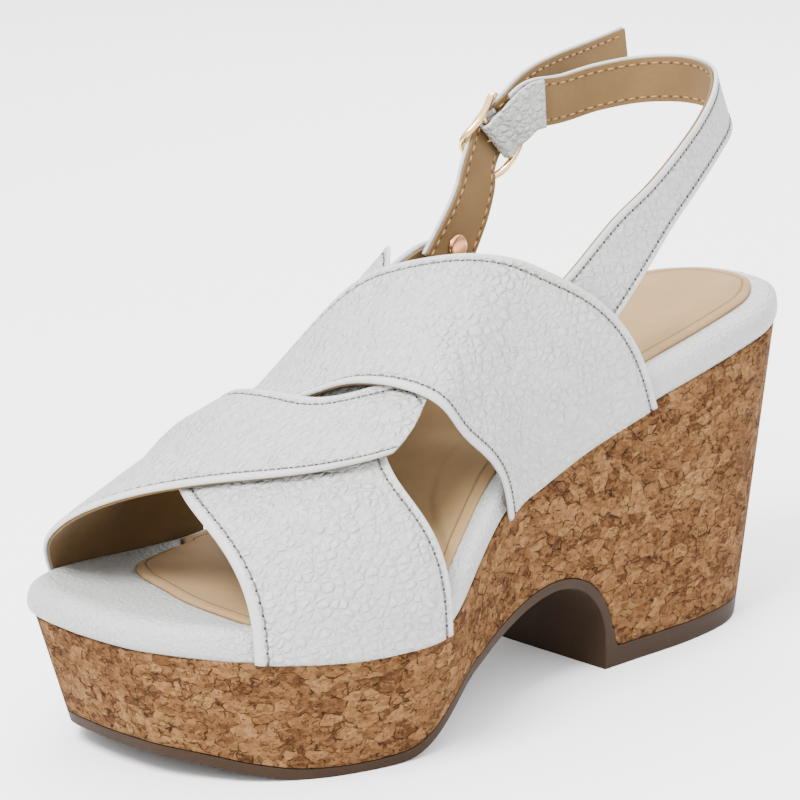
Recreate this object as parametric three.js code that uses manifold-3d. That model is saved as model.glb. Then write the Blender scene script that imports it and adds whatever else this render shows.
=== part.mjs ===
// Wedge sandal with a cork-wrapped platform, crossed leather bands and a buckled sling strap.
// Right shoe, millimetres: +Z up, toe towards -Y, heel towards +Y, inner (medial) side +X.
// Origin: middle of the flat forefoot tread, on the ground.
import * as THREE from "three";
import { mergeVertices } from "three/addons/utils/BufferGeometryUtils.js";
import Module from "manifold-3d";

const wasm = await Module();
wasm.setup();

// ---- Driving dimensions -------------------------------------------------------------------
const FOOTBED_LENGTH = 245;
const TOE_Y = -54;
const BALL_MEDIAL = 45.5;
const BALL_LATERAL = 49;
const WAIST_MEDIAL = 30;
const WAIST_LATERAL = 33;
const HEEL_MEDIAL = 32;
const HEEL_LATERAL = 31;
const PLATFORM_HEIGHT = 33.5;
const TOE_RISE = 4.5;
const HEEL_HEIGHT = 86.8;
const INSTEP_HEIGHT = 62;
const LATERAL_ROUNDNESS = 1.18;

// Wall slopes of the wedge: how far the tread lies inside the footbed's outline.
const TREAD_INSET_TOE = 12;
const TREAD_INSET_HEEL = 11;
const TREAD_INSET_BALL = 5.5;
const TREAD_INSET_BALL_LATERAL = 2;
const TREAD_INSET_WAIST = 2.5;
const TREAD_INSET_SIDE = 4.5;

// Tread line: toe spring, arch under the waist, heel breast.
const TOE_SPRING = 6;
const ARCH_HEIGHT = 28;
const HEEL_BREAST_Y = 101.5;
const OUTSOLE_FORE = 3;
const OUTSOLE_ARCH = 2.8;
const HEEL_LIFT = 6;

const CORK_SKIN = 1.2;
const RIM_HEIGHT = 8.6;
const RIM_BULGE = 1.8;
const COVER_WALL = 1.2;
const SOCK_THICKNESS = 1;
const SOCK_INSET = 5;
const SOCK_INSET_HEEL = 7;
const BOARD_THICKNESS = 2;
const BOARD_INSET = 4;
const BOARD_LIFT = 0.4;
const SHANK_WIDTH = 12;
const SHANK_LENGTH = 84;
const SHANK_MIDDLE = 0.6;
const SHANK_THICKNESS = 1.2;
const SHANK_RIVET_RADIUS = 1.6;
const SHANK_RIVET_SETBACK = 8;

const GAP = 0.3;
const LEATHER = 1.2;
const LINING = 0.7;
const BAND_SIDE_CLEARANCE = 1.1;
const BAND_STACK_GAP = 0.95;
const EDGE_FAIRING = 48;

const STRAP_WIDTH = 14.5;
const STRAP_BASE_WIDTH = 22;
const STRAP_LEATHER = 1.1;
const STRAP_LINING = 0.7;
const SLING_PIVOT_Y = 97;
const SLING_PIVOT_Z = 113;
const BUCKLE_LENGTH = 19;
const BUCKLE_WIRE = 0.95;
const BAR_RADIUS = 0.85;
const PRONG_WIDTH = 1.8;
const RIVET_HEAD_RADIUS = 3.6;
const RIVET_POST_RADIUS = 1.2;

// ---- Derived sizes ------------------------------------------------------------------------
const PLY = LEATHER + LINING + GAP + BAND_STACK_GAP;
const STRAP_PLY = STRAP_LEATHER + STRAP_LINING + GAP;
const RISE = HEEL_HEIGHT - PLATFORM_HEIGHT;
const STATIONS = 30;
const station = (y) => (y - TOE_Y) / FOOTBED_LENGTH;

// ---- Small mathematics --------------------------------------------------------------------
const mix = (a, b, t) => a + (b - a) * t;
const radians = (degrees) => THREE.MathUtils.degToRad(degrees);

function smooth(from, to, value) {
  const t = THREE.MathUtils.clamp((value - from) / (to - from), 0, 1);
  return t * t * (3 - 2 * t);
}

/** A smooth curve through [x, y] pairs. */
function curveThrough(pairs) {
  const points = pairs.map(([x, y]) => new THREE.Vector3(x, y, 0));
  return new THREE.CatmullRomCurve3(points, false, "catmullrom", 0.5);
}

/** A function that reads the height of a smooth curve through [x, y] pairs, x rising. */
function tableOf(pairs) {
  const samples = curveThrough(pairs).getPoints(20 * (pairs.length - 1));
  return (x) => {
    let i = 1;
    while (i < samples.length - 1 && samples[i].x < x) i += 1;
    const a = samples[i - 1];
    const b = samples[i];
    const t = THREE.MathUtils.clamp((x - a.x) / (b.x - a.x), 0, 1);
    return mix(a.y, b.y, t);
  };
}

// ---- Footbed outline and height -----------------------------------------------------------
const footY = (s) => TOE_Y + FOOTBED_LENGTH * s;

const medialSide = tableOf([
  [-0.004, -14], [0, -10], [0.014, BALL_MEDIAL * 0.18], [0.067, BALL_MEDIAL * 0.6],
  [0.147, BALL_MEDIAL * 0.86], [0.241, BALL_MEDIAL * 0.99], [0.31, BALL_MEDIAL],
  [0.392, mix(WAIST_MEDIAL, BALL_MEDIAL, 0.48)], [0.473, WAIST_MEDIAL * 1.03],
  [0.571, WAIST_MEDIAL], [0.678, HEEL_MEDIAL], [0.8, HEEL_MEDIAL], [0.906, HEEL_MEDIAL * 0.86],
  [0.98, HEEL_MEDIAL * 0.45], [1, 0], [1.002, -1],
]);
const lateralSide = tableOf([
  [-0.004, -14], [0, -18], [0.012, -BALL_LATERAL * 0.69], [0.065, -BALL_LATERAL * 0.92],
  [0.159, -BALL_LATERAL], [0.261, -BALL_LATERAL * 0.98], [0.363, -BALL_LATERAL * 0.9],
  [0.465, -mix(WAIST_LATERAL, BALL_LATERAL, 0.31)], [0.563, -WAIST_LATERAL],
  [0.678, -HEEL_LATERAL], [0.8, -HEEL_LATERAL], [0.92, -HEEL_LATERAL * 0.87],
  [0.986, -HEEL_LATERAL * 0.45], [1, 0], [1.002, 1],
]);
const riseOf = tableOf([
  [-0.1, -0.02], [0.2, 0], [0.261, 0.004], [0.31, 0.046], [0.363, 0.174], [0.416, 0.339],
  [0.465, 0.459], [0.506, 0.514], [0.567, 0.615], [0.629, 0.706], [0.69, 0.789], [0.751, 0.853],
  [0.812, 0.908], [0.873, 0.954], [0.935, 0.982], [1.004, 1], [1.1, 1.02],
]);
const toeRiseOf = tableOf([[-0.1, 1.3], [0, 1], [0.1, 0.45], [0.2, 0], [0.3, 0], [1.1, 0]]);
const smoothTopZ = (s) => PLATFORM_HEIGHT + RISE * riseOf(s) + TOE_RISE * toeRiseOf(s);

/** Stations along the foot, closer together at the round toe and heel. */
const stationShare = (k) => mix(k / STATIONS, (1 - Math.cos((Math.PI * k) / STATIONS)) / 2, 0.7);

const topKnots = [-0.08, -0.04];
for (let k = 0; k <= STATIONS; k += 1) topKnots.push(stationShare(k));
topKnots.push(1.04, 1.08);

/** Height of the wedge's top: straight between the stations, so that layers lie parallel. */
function topZ(s) {
  let i = 1;
  while (i < topKnots.length - 1 && topKnots[i] < s) i += 1;
  const t = (s - topKnots[i - 1]) / (topKnots[i] - topKnots[i - 1]);
  return mix(smoothTopZ(topKnots[i - 1]), smoothTopZ(topKnots[i]), t);
}

/** Shift of the tread outline along the shoe and towards its middle, from the wall slopes. */
function treadShift(s, isMedial) {
  const along = TREAD_INSET_TOE * (1 - smooth(0, 0.35, s)) - TREAD_INSET_HEEL * smooth(0.7, 1, s);
  const ball = isMedial ? TREAD_INSET_BALL : TREAD_INSET_BALL_LATERAL;
  const waist = mix(ball, TREAD_INSET_WAIST, smooth(0.3, 0.45, s));
  return { along, side: mix(waist, TREAD_INSET_SIDE, smooth(0.55, 0.7, s)) };
}

/**
 * Closed plan ring: toe, along the medial side to the heel, back along the lateral side.
 * A ring with tread 0 is the footbed's outline and one with tread 1 is the tread's.
 */
function planRing(inset, tread = 0) {
  const shares = [];
  for (let k = 0; k <= STATIONS; k += 1) shares.push([stationShare(k), medialSide]);
  for (let k = STATIONS - 1; k >= 1; k -= 1) shares.push([stationShare(k), lateralSide]);
  const outline = shares.map(([s, side]) => new THREE.Vector2(side(s), footY(s)));
  outline[0].x = (medialSide(0) + lateralSide(0)) / 2;
  outline[STATIONS].x = 0;
  return outline.map((p, i) => {
    const s = shares[i][0];
    const before = outline[(i + outline.length - 1) % outline.length];
    const after = outline[(i + 1) % outline.length];
    const along = after.clone().sub(before).normalize();
    const out = new THREE.Vector2(along.y, -along.x);
    const d = typeof inset === "function" ? inset(s) : inset;
    const shift = treadShift(s, i <= STATIONS);
    const x = p.x - out.x * (d + tread * shift.side);
    const y = p.y - out.y * d + tread * shift.along;
    return { s, x, y, z: topZ(station(p.y - out.y * d)) };
  });
}

// ---- Mesh helpers -------------------------------------------------------------------------
function geometryOf(points, triangles) {
  const geometry = new THREE.BufferGeometry();
  const flat = points.flatMap((p) => [p.x, p.y, p.z]);
  geometry.setAttribute("position", new THREE.Float32BufferAttribute(flat, 3));
  geometry.setIndex(triangles.flat());
  return geometry;
}

/** Closed body through rings of equal length; strip caps join each side of a plan ring. */
function loft(rings) {
  const n = rings[0].length;
  const points = rings.flat();
  const triangles = [];
  for (let r = 0; r < rings.length - 1; r += 1) {
    for (let i = 0; i < n; i += 1) {
      const a = r * n + i;
      const b = r * n + ((i + 1) % n);
      triangles.push([a, b, b + n], [a, b + n, a + n]);
    }
  }
  const top = (rings.length - 1) * n;
  for (let k = 0; k < n / 2; k += 1) {
    const l0 = (n - k) % n;
    const l1 = n - k - 1;
    if (k > 0) triangles.push([k, l0, k + 1], [top + k, top + k + 1, top + l0]);
    if (l1 !== k + 1) triangles.push([l0, l1, k + 1], [top + l0, top + k + 1, top + l1]);
  }
  return geometryOf(points, triangles);
}

/** Ring-shaped body: rings of equal length joined end to end. */
function loopOfRings(rings) {
  const n = rings[0].length;
  const triangles = [];
  rings.forEach((_, r) => {
    const next = ((r + 1) % rings.length) * n;
    for (let i = 0; i < n; i += 1) {
      const j = (i + 1) % n;
      triangles.push([r * n + i, r * n + j, next + j], [r * n + i, next + j, next + i]);
    }
  });
  return geometryOf(rings.flat(), triangles);
}

/** Thin sheet between a lower and an upper grid of points, both rows x columns. */
function sheetBody(lower, upper) {
  const rows = lower.length;
  const columns = lower[0].length;
  const points = [...lower.flat(), ...upper.flat()];
  const shift = rows * columns;
  const at = (r, c) => r * columns + c;
  const triangles = [];
  const quad = (a, b, c, d) => triangles.push([a, b, c], [a, c, d]);
  for (let r = 0; r < rows - 1; r += 1) {
    for (let c = 0; c < columns - 1; c += 1) {
      quad(at(r, c), at(r, c + 1), at(r + 1, c + 1), at(r + 1, c));
      quad(shift + at(r, c), shift + at(r + 1, c), shift + at(r + 1, c + 1), shift + at(r, c + 1));
    }
    const e = columns - 1;
    quad(at(r, 0), at(r + 1, 0), shift + at(r + 1, 0), shift + at(r, 0));
    quad(at(r, e), shift + at(r, e), shift + at(r + 1, e), at(r + 1, e));
  }
  const last = rows - 1;
  for (let c = 0; c < columns - 1; c += 1) {
    quad(at(0, c), shift + at(0, c), shift + at(0, c + 1), at(0, c + 1));
    quad(at(last, c), at(last, c + 1), shift + at(last, c + 1), shift + at(last, c));
  }
  return geometryOf(points, triangles);
}

/** Turn a geometry inside out when its volume is negative. */
function facingOut(geometry) {
  const p = geometry.getAttribute("position");
  const index = geometry.getIndex().array;
  const [a, b, c] = [new THREE.Vector3(), new THREE.Vector3(), new THREE.Vector3()];
  let volume = 0;
  for (let i = 0; i < index.length; i += 3) {
    a.fromBufferAttribute(p, index[i]);
    b.fromBufferAttribute(p, index[i + 1]);
    c.fromBufferAttribute(p, index[i + 2]);
    volume += a.dot(b.cross(c));
  }
  if (volume < 0) {
    for (let i = 0; i < index.length; i += 3) {
      [index[i + 1], index[i + 2]] = [index[i + 2], index[i + 1]];
    }
  }
  return geometry;
}

function solidOf(geometry) {
  let bare = geometry.clone();
  bare.deleteAttribute("normal");
  bare.deleteAttribute("uv");
  bare = facingOut(mergeVertices(bare, 1e-4));
  return new wasm.Manifold(new wasm.Mesh({
    numProp: 3,
    vertProperties: new Float32Array(bare.getAttribute("position").array),
    triVerts: new Uint32Array(bare.getIndex().array),
  }));
}

function geometryFrom(solid) {
  const mesh = solid.getMesh();
  const geometry = new THREE.BufferGeometry();
  geometry.setAttribute("position", new THREE.BufferAttribute(mesh.vertProperties, 3));
  geometry.setIndex(new THREE.BufferAttribute(mesh.triVerts, 1));
  return geometry;
}

/** Prism across the shoe from a side-view outline of [y, z] pairs. */
function sidePrism(outline, halfWidth = 90) {
  const shape = new THREE.Shape(outline.map(([y, z]) => new THREE.Vector2(y, z)));
  const prism = new THREE.ExtrudeGeometry(shape, { depth: 2 * halfWidth, bevelEnabled: false });
  prism.translate(0, 0, -halfWidth);
  prism.applyMatrix4(new THREE.Matrix4().makeBasis(
    new THREE.Vector3(0, 1, 0), new THREE.Vector3(0, 0, 1), new THREE.Vector3(1, 0, 0)));
  return solidOf(prism);
}

// ---- Finishes -----------------------------------------------------------------------------
const finish = (color, roughness, metalness = 0) => ({ color, roughness, metalness });
const WHITE_LEATHER = finish(0xe3e5e3, 0.55);
const TAN_LINING = finish(0xc9a981, 0.7);
const SOCK_SUEDE = finish(0xdec4a5, 0.8);
const CORK = finish(0xb98a5a, 0.85);
const CORE_FOAM = finish(0x8c6a48, 0.9);
const RUBBER = finish(0x5f4c3a, 0.6);
const BOARD = finish(0xa08a6a, 0.9);
const FOAM = finish(0xe8e0cf, 0.95);
const STEEL = finish(0x9a9a9c, 0.4, 1);
const GOLD = finish(0xdcbe8c, 0.2, 1);
const COPPER = finish(0xc08e6c, 0.3, 1);

const sandal = new THREE.Group();

function addPart(name, body, look) {
  const geometry = body instanceof wasm.Manifold ? geometryFrom(body) : facingOut(body);
  geometry.computeVertexNormals();
  const mesh = new THREE.Mesh(geometry, new THREE.MeshStandardMaterial(look));
  mesh.name = name;
  sandal.add(mesh);
}

// ---- Sole unit ----------------------------------------------------------------------------
/** Block with the wedge's sloping walls, drawn in by a skin thickness. */
function wedgeBlock(skin) {
  const top = planRing(skin);
  const bottom = planRing(skin, 1);
  const level = (t) => top.map((p, i) => new THREE.Vector3(
    mix(bottom[i].x, p.x, t), mix(bottom[i].y, p.y, t), p.z * t));
  return solidOf(loft([level(-0.12), level(0), level(1), level(1.15)]));
}

const treadLine = [
  [-70, TOE_SPRING * 1.9], [-41, TOE_SPRING], [-28, TOE_SPRING * 0.4], [-15, 0], [8, 0],
  [18, ARCH_HEIGHT * 0.09], [27, ARCH_HEIGHT * 0.3], [33, ARCH_HEIGHT * 0.44],
  [40, ARCH_HEIGHT * 0.57], [48, ARCH_HEIGHT * 0.67], [60, ARCH_HEIGHT * 0.8],
  [70, ARCH_HEIGHT * 0.93], [79, ARCH_HEIGHT], [86, ARCH_HEIGHT * 0.98],
  [91.5, ARCH_HEIGHT * 0.9], [96, ARCH_HEIGHT * 0.76], [99.2, ARCH_HEIGHT * 0.58],
  [100.8, ARCH_HEIGHT * 0.4],
].map(([y, z]) => [y > 60 ? y + HEEL_BREAST_Y - 101.5 : y, z]);

/** Tread line as points, raised square to itself by the outsole's thickness. */
function raisedTread(lift) {
  const curve = curveThrough(treadLine);
  const points = [];
  for (let i = 0; i <= 51; i += 1) {
    const t = i / 51;
    const p = curve.getPoint(t);
    const along = curve.getTangent(t);
    const thin = lift === 0 ? 0 : lift + mix(OUTSOLE_FORE, OUTSOLE_ARCH, smooth(15, 45, p.x));
    const y = p.x - along.y * thin;
    if (points.length === 0 || y > points[points.length - 1][0] + 0.2) {
      points.push([y, p.y + along.x * thin]);
    }
  }
  return points;
}

const HEEL_END_Y = footY(1) + 20;
const heelTopOfLift = (lift) => HEEL_LIFT + lift;

function outsole() {
  const under = raisedTread(0);
  under.push([HEEL_BREAST_Y, ARCH_HEIGHT * 0.1], [HEEL_BREAST_Y, 0], [HEEL_END_Y, 0]);
  const over = raisedTread(0.001);
  const breast = HEEL_BREAST_Y + OUTSOLE_ARCH;
  over.push([breast, heelTopOfLift(0) + 6], [breast + 2, heelTopOfLift(0)]);
  over.push([HEEL_END_Y, heelTopOfLift(0)]);
  return wedgeBlock(0).intersect(sidePrism([...under, ...over.reverse()]));
}

const topLine = () => topKnots.map((s) => [footY(s), topZ(s)]);

/** Everything between the outsole and the footbed. */
function wedgeProfile() {
  const under = raisedTread(GAP);
  const breast = HEEL_BREAST_Y + OUTSOLE_ARCH + GAP;
  under.push([breast, heelTopOfLift(GAP) + 6], [breast + 2, heelTopOfLift(GAP)]);
  under.push([HEEL_END_Y, heelTopOfLift(GAP)]);
  return sidePrism([...under, ...topLine().reverse()]);
}

/** Flat steel shank along the waist, set into the wedge under the insole board. */
function shankSlab(grow) {
  const middle = footY(SHANK_MIDDLE);
  const half = SHANK_LENGTH / 2 + grow;
  const lower = [];
  const upper = [];
  for (let i = 0; i <= 10; i += 1) {
    const y = middle + mix(-half, half, i / 10);
    const z = topZ(station(y)) - GAP;
    const w = SHANK_WIDTH / 2 + grow;
    const under = z - SHANK_THICKNESS - grow;
    const over = z + (grow > 0 ? 5 : 0);
    lower.push([new THREE.Vector3(-w, y, under), new THREE.Vector3(w, y, under)]);
    upper.push([new THREE.Vector3(-w, y, over), new THREE.Vector3(w, y, over)]);
  }
  return solidOf(sheetBody(lower, upper));
}

function wedgeCore() {
  const core = wedgeBlock(CORK_SKIN + GAP).intersect(wedgeProfile());
  return core.subtract(shankSlab(GAP));
}

function corkWrap() {
  return wedgeBlock(0).subtract(wedgeBlock(CORK_SKIN)).intersect(wedgeProfile());
}

// ---- Footbed ------------------------------------------------------------------------------
const rimBulge = (s) => RIM_BULGE * (1 - smooth(0.01, 0.07, s)) + 0.6 * smooth(0.78, 0.95, s);

function ringAt(inset, lift) {
  return planRing(inset).map((p) => new THREE.Vector3(p.x, p.y, p.z + lift));
}

const SIDE_TUCK = 0.2;
const COVER_FOOT = GAP;

function footbedCover() {
  const bottom = COVER_FOOT;
  const shape = (depth, share) => (s) => depth - SIDE_TUCK - rimBulge(s) * share;
  const outer = [
    ringAt(shape(0.7, 0), bottom), ringAt(shape(0.1, 0.9), 1.8),
    ringAt(shape(0, 1), RIM_HEIGHT * 0.5), ringAt(shape(0.5, 0.7), RIM_HEIGHT * 0.82),
    ringAt(shape(2.4, 0.2), RIM_HEIGHT),
  ];
  const inner = [
    ringAt(shape(0.7 + COVER_WALL, 0), bottom - 1), ringAt(shape(0.3 + COVER_WALL, 0.8), 2),
    ringAt(shape(COVER_WALL + 0.6, 0.7), RIM_HEIGHT - COVER_WALL - 1),
    ringAt(shape(2.6 + COVER_WALL, 0.2), RIM_HEIGHT - COVER_WALL),
  ];
  return solidOf(loft(outer)).subtract(solidOf(loft(inner)));
}

function footbedFoam() {
  const side = COVER_WALL + GAP;
  const foot = BOARD_LIFT + BOARD_THICKNESS + GAP;
  const shape = (depth, share) => (s) => depth - SIDE_TUCK - rimBulge(s) * share;
  const top = RIM_HEIGHT - COVER_WALL - GAP;
  return loft([
    ringAt(shape(side + 0.9, 0.5), foot),
    ringAt(shape(side + 0.7, 0.6), top - 1.2), ringAt(shape(side + 2.8, 0.2), top),
  ]);
}

function insoleBoard() {
  return loft([ringAt(BOARD_INSET, BOARD_LIFT), ringAt(BOARD_INSET, BOARD_LIFT + BOARD_THICKNESS)]);
}

/** Front edge of the sock, set back from the toe and rounded at its lateral corner. */
const SOCK_FRONT = [
  [70, -26], [45, -29], [28, -31], [12.5, -31], [1, -30], [-10.7, -27], [-18.5, -25],
  [-26, -22.5], [-33, -17], [-38, -3], [-41, 6], [-70, 14],
];

function sockLining() {
  const base = RIM_HEIGHT + GAP;
  const inset = (more) => (s) => mix(SOCK_INSET, SOCK_INSET_HEEL, smooth(0.55, 0.75, s)) + more;
  const top = base + SOCK_THICKNESS;
  const sheet = loft([
    ringAt(inset(0), base), ringAt(inset(0), top - 0.4), ringAt(inset(0.5), top),
  ]);
  const pattern = new THREE.Shape([
    ...curveThrough(SOCK_FRONT).getPoints(3 * (SOCK_FRONT.length - 1)),
    new THREE.Vector2(-70, HEEL_END_Y), new THREE.Vector2(70, HEEL_END_Y),
  ].map((p) => new THREE.Vector2(p.x, p.y)));
  const cutter = new THREE.ExtrudeGeometry(pattern, { depth: 2 * HEEL_HEIGHT, bevelEnabled: false });
  return solidOf(sheet).intersect(solidOf(cutter));
}

/** Height and place of the rivet at the front (-1) or rear (1) end of the shank. */
function shankRivetAt(end) {
  const y = footY(SHANK_MIDDLE) + end * (SHANK_LENGTH / 2 - SHANK_RIVET_SETBACK);
  return new THREE.Vector3(0, y, topZ(station(y)));
}

function uprightCylinder(radius, height, at) {
  const body = new THREE.CylinderGeometry(radius, radius, height, 12);
  body.rotateX(Math.PI / 2);
  body.translate(at.x, at.y, at.z);
  return solidOf(body);
}

/** Steel rivet through shank and insole board. */
function shankRivet(end) {
  const at = shankRivetAt(end);
  at.z += (BOARD_THICKNESS - SHANK_THICKNESS) / 2;
  return uprightCylinder(SHANK_RIVET_RADIUS, BOARD_THICKNESS + SHANK_THICKNESS - 2 * GAP, at);
}

function rivetHoles() {
  const hole = (end) => uprightCylinder(SHANK_RIVET_RADIUS + GAP, 40, shankRivetAt(end));
  return hole(-1).add(hole(1));
}

// ---- Bands over the foot ------------------------------------------------------------------
const instepOf = tableOf([
  [-0.024, 0.306], [0.016, 0.387], [0.078, 0.516], [0.159, 0.694], [0.241, 0.815],
  [0.322, 0.911], [0.404, 1], [0.465, 1.056], [0.514, 1.177], [0.567, 1.387], [0.616, 1.58],
  [0.669, 1.71], [0.731, 1.742], [0.792, 1.742],
]);

/** Point on the foot form: station y, angle from the medial side over the instep, lift off it. */
function formPoint(y, degrees, lift) {
  const s = station(y);
  const reach = BAND_SIDE_CLEARANCE + lift;
  const medial = medialSide(s) + reach;
  const lateral = lateralSide(s) - reach;
  const c = Math.cos(radians(degrees));
  const round = mix(0.85, LATERAL_ROUNDNESS, smooth(85, 135, degrees) * (1 - smooth(0.45, 0.58, s)));
  const h = Math.max(0, Math.sin(radians(degrees))) ** round;
  const x = (medial + lateral) / 2 + ((medial - lateral) / 2) * Math.sign(c) * Math.abs(c) ** round;
  const z = topZ(s) + GAP + (INSTEP_HEIGHT * instepOf(s) + lift) * h;
  return new THREE.Vector3(x, footY(s), z);
}

/** Edge of a band through its [angle, y] points, faired as a pattern cutter would. */
function fairedEdge(pairs) {
  const samples = 120;
  let points = curveThrough(pairs).getPoints(samples);
  for (let pass = 0; pass < EDGE_FAIRING; pass += 1) {
    points = points.map((p, i) => (i === 0 || i === samples ? p : p.clone().multiplyScalar(2)
      .add(points[i - 1]).add(points[i + 1]).divideScalar(4)));
  }
  return (share) => {
    const i = Math.min(Math.floor(share * samples), samples - 1);
    return points[i].clone().lerp(points[i + 1], share * samples - i);
  };
}

/** Two plies of a band between its front and rear edges, each a list of [angle, y]. */
function band(front, rear, liftAt, rows = 26, columns = 7) {
  const frontEdge = fairedEdge(front);
  const rearEdge = fairedEdge(rear);
  const gridAt = (offset) => {
    const grid = [];
    for (let r = 0; r <= rows; r += 1) {
      const a = frontEdge(r / rows);
      const b = rearEdge(r / rows);
      const row = [];
      for (let c = 0; c <= columns; c += 1) {
        const angle = THREE.MathUtils.clamp(mix(a.x, b.x, c / columns), 0, 180);
        const y = mix(a.y, b.y, c / columns);
        row.push(formPoint(y, angle, liftAt(angle, y) + offset));
      }
      grid.push(row);
    }
    return grid;
  };
  return {
    lining: sheetBody(gridAt(0), gridAt(LINING)),
    leather: sheetBody(gridAt(LINING + GAP), gridAt(LINING + GAP + LEATHER)),
  };
}

const UNDER_FRONT = [
  [0, -34.5], [18, -34.2], [38, -34], [52, -33.7], [64, -33], [78, -31.3], [91, -27], [103, -17],
  [115, -1], [127, 16], [139, 31.5], [154, 40.7], [166, 48], [180, 54],
];
const UNDER_REAR = [
  [0, 19.4], [10, 19.4], [22, 18], [39, 13.5], [55, 9], [72, 24], [86, 42], [97, 55],
  [109, 60], [124, 63.5], [139, 69], [150, 84], [158, 104], [180, 113],
];
const TOE_FRONT = [
  [180, -31], [168, -34.5], [152, -40], [138, -44.5], [122, -47.5], [107, -47], [96, -40],
  [86, -31], [76, -24.5], [65, -15.5], [59, -4.5], [55, 6], [53, 13],
];
const TOE_REAR = [
  [180, 21], [166, 20], [152, 17], [138, 13], [126, 9], [114, 6.5], [104, 5], [95, 4.2],
  [88, 6], [81, 13], [73, 23.5], [64, 30], [56, 29],
];
const CROSS_FRONT = [
  [0, 54], [8, 51.5], [16, 46.5], [27, 40], [40, 33.4], [53, 28], [65, 23.8], [76, 19.3],
  [84.5, 14.4], [89, 7], [96, -3], [104, -5.5], [112, -5],
];
const CROSS_REAR = [
  [0, 113], [6, 108], [13, 101], [23, 90], [34, 80.5], [46, 72.6], [58, 65], [70, 58.2],
  [81, 52.3], [92, 47], [105, 42.4], [123, 29], [141, 10],
];

const underLift = () => 0;

/** The toe band lies on the under band, and on the cross band along their seam. */
function toeLift(angle, y) {
  const foot = 1 - smooth(148, 170, angle);
  const seam = smooth(-15, -8, y) * smooth(82, 90, angle);
  return PLY * foot * (1 + seam);
}

/** The cross band lies on the under band, and on the toe band's tucked tab. */
function crossLift(angle, y) {
  const foot = smooth(34, 52, angle);
  const tab = (1 - smooth(80, 90, angle)) * (1 - smooth(34, 44, y));
  return PLY * foot * (1 + tab) + 0.4 * smooth(85, 110, angle);
}

// ---- Sling strap --------------------------------------------------------------------------
const V = (x, y, z) => new THREE.Vector3(x, y, z);

/** Ribbon along a route; each knot has a place, an across direction and a half width. */
class Ribbon {
  constructor(knots) {
    const open = (list) => new THREE.CatmullRomCurve3(list, false, "catmullrom", 0.5);
    this.route = open(knots.map((k) => k.at));
    this.across = open(knots.map((k) => k.across));
    this.halves = open(knots.map((k) => V(k.half, 0, 0)));
  }

  frame(t) {
    const along = this.route.getTangent(t);
    const across = this.across.getPoint(t);
    across.addScaledVector(along, -across.dot(along)).normalize();
    const out = new THREE.Vector3().crossVectors(along, across).normalize();
    return { at: this.route.getPoint(t), along, across, out, half: this.halves.getPoint(t).x };
  }

  /** Strip from route share t0 to t1, between two heights off the route. */
  strip(t0, t1, low, high, steps, trim = 0) {
    const edge = (height) => {
      const rows = [];
      for (let i = 0; i <= steps; i += 1) {
        const f = this.frame(mix(t0, t1, i / steps));
        rows.push([-1, 0, 1].map((side) => f.at.clone()
          .addScaledVector(f.across, side * (f.half - trim))
          .addScaledVector(f.out, height)));
      }
      return rows;
    };
    return sheetBody(edge(low), edge(high));
  }
}

const BUCKLE_AT = V(-28.6, 115, 141.5);
const BUCKLE_PITCH = 44;
const STRAP_ARCH = 3.5;
const STRAP_DIP = 0.5;
const BUCKLE_PLAY = 0.35;
const alongBuckle = V(0, Math.cos(radians(BUCKLE_PITCH)), Math.sin(radians(BUCKLE_PITCH)));
const acrossBuckle = V(0, Math.sin(radians(BUCKLE_PITCH)), -Math.cos(radians(BUCKLE_PITCH)));
const outOfBuckle = V(-1, 0, 0);

/** Place in the buckle's own axes: along the strap, across it, and away from the ankle. */
function inBuckle(along, across, out) {
  return BUCKLE_AT.clone().addScaledVector(alongBuckle, along)
    .addScaledVector(acrossBuckle, across).addScaledVector(outOfBuckle, out);
}

const half = STRAP_WIDTH / 2;
const baseHalf = STRAP_BASE_WIDTH / 2;
const flare = (share) => mix(half, baseHalf, share);
const STRAP_SIDE_X = 28;
const BAR_TO_STRAP = 8;

const sling = new Ribbon([
  {
    at: V(STRAP_SIDE_X, SLING_PIVOT_Y - 4, SLING_PIVOT_Z - 4.4),
    across: V(-0.1, -0.62, 0.78),
    half: flare(1),
  },
  { at: V(28, 108, 120.8), across: V(-0.08, -0.62, 0.78), half: flare(0.7) },
  { at: V(28.2, 119.5, 129.6), across: V(0, -0.63, 0.77), half: flare(0.28) },
  { at: V(27.6, 131, 137.8), across: V(0, -0.62, 0.78), half: flare(0.06) },
  { at: V(24.6, 143.5, 145), across: V(0, -0.55, 0.83), half },
  { at: V(18.4, 156, 150.2), across: V(-0.12, -0.4, 0.9), half },
  { at: V(8, 165.6, 153.4), across: V(-0.08, -0.25, 0.96), half },
  { at: V(-4.5, 168, 154.4), across: V(0, -0.2, 0.98), half },
  { at: V(-15.8, 161.8, 153.8), across: V(0.08, -0.2, 0.98), half },
  { at: V(-22.8, 150.4, 152), across: V(0.08, -0.22, 0.97), half },
  { at: V(-25.8, 138, 149.8), across: V(0.04, -0.3, 0.95), half },
  {
    at: inBuckle(BAR_TO_STRAP + 6, 0, -2.4).add(V(0, 1.3, -1.6)),
    across: V(0, -0.5, 0.86),
    half,
  },
  { at: inBuckle(BAR_TO_STRAP, 0, -2.1), across: acrossBuckle.clone().negate(), half },
]);

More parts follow.
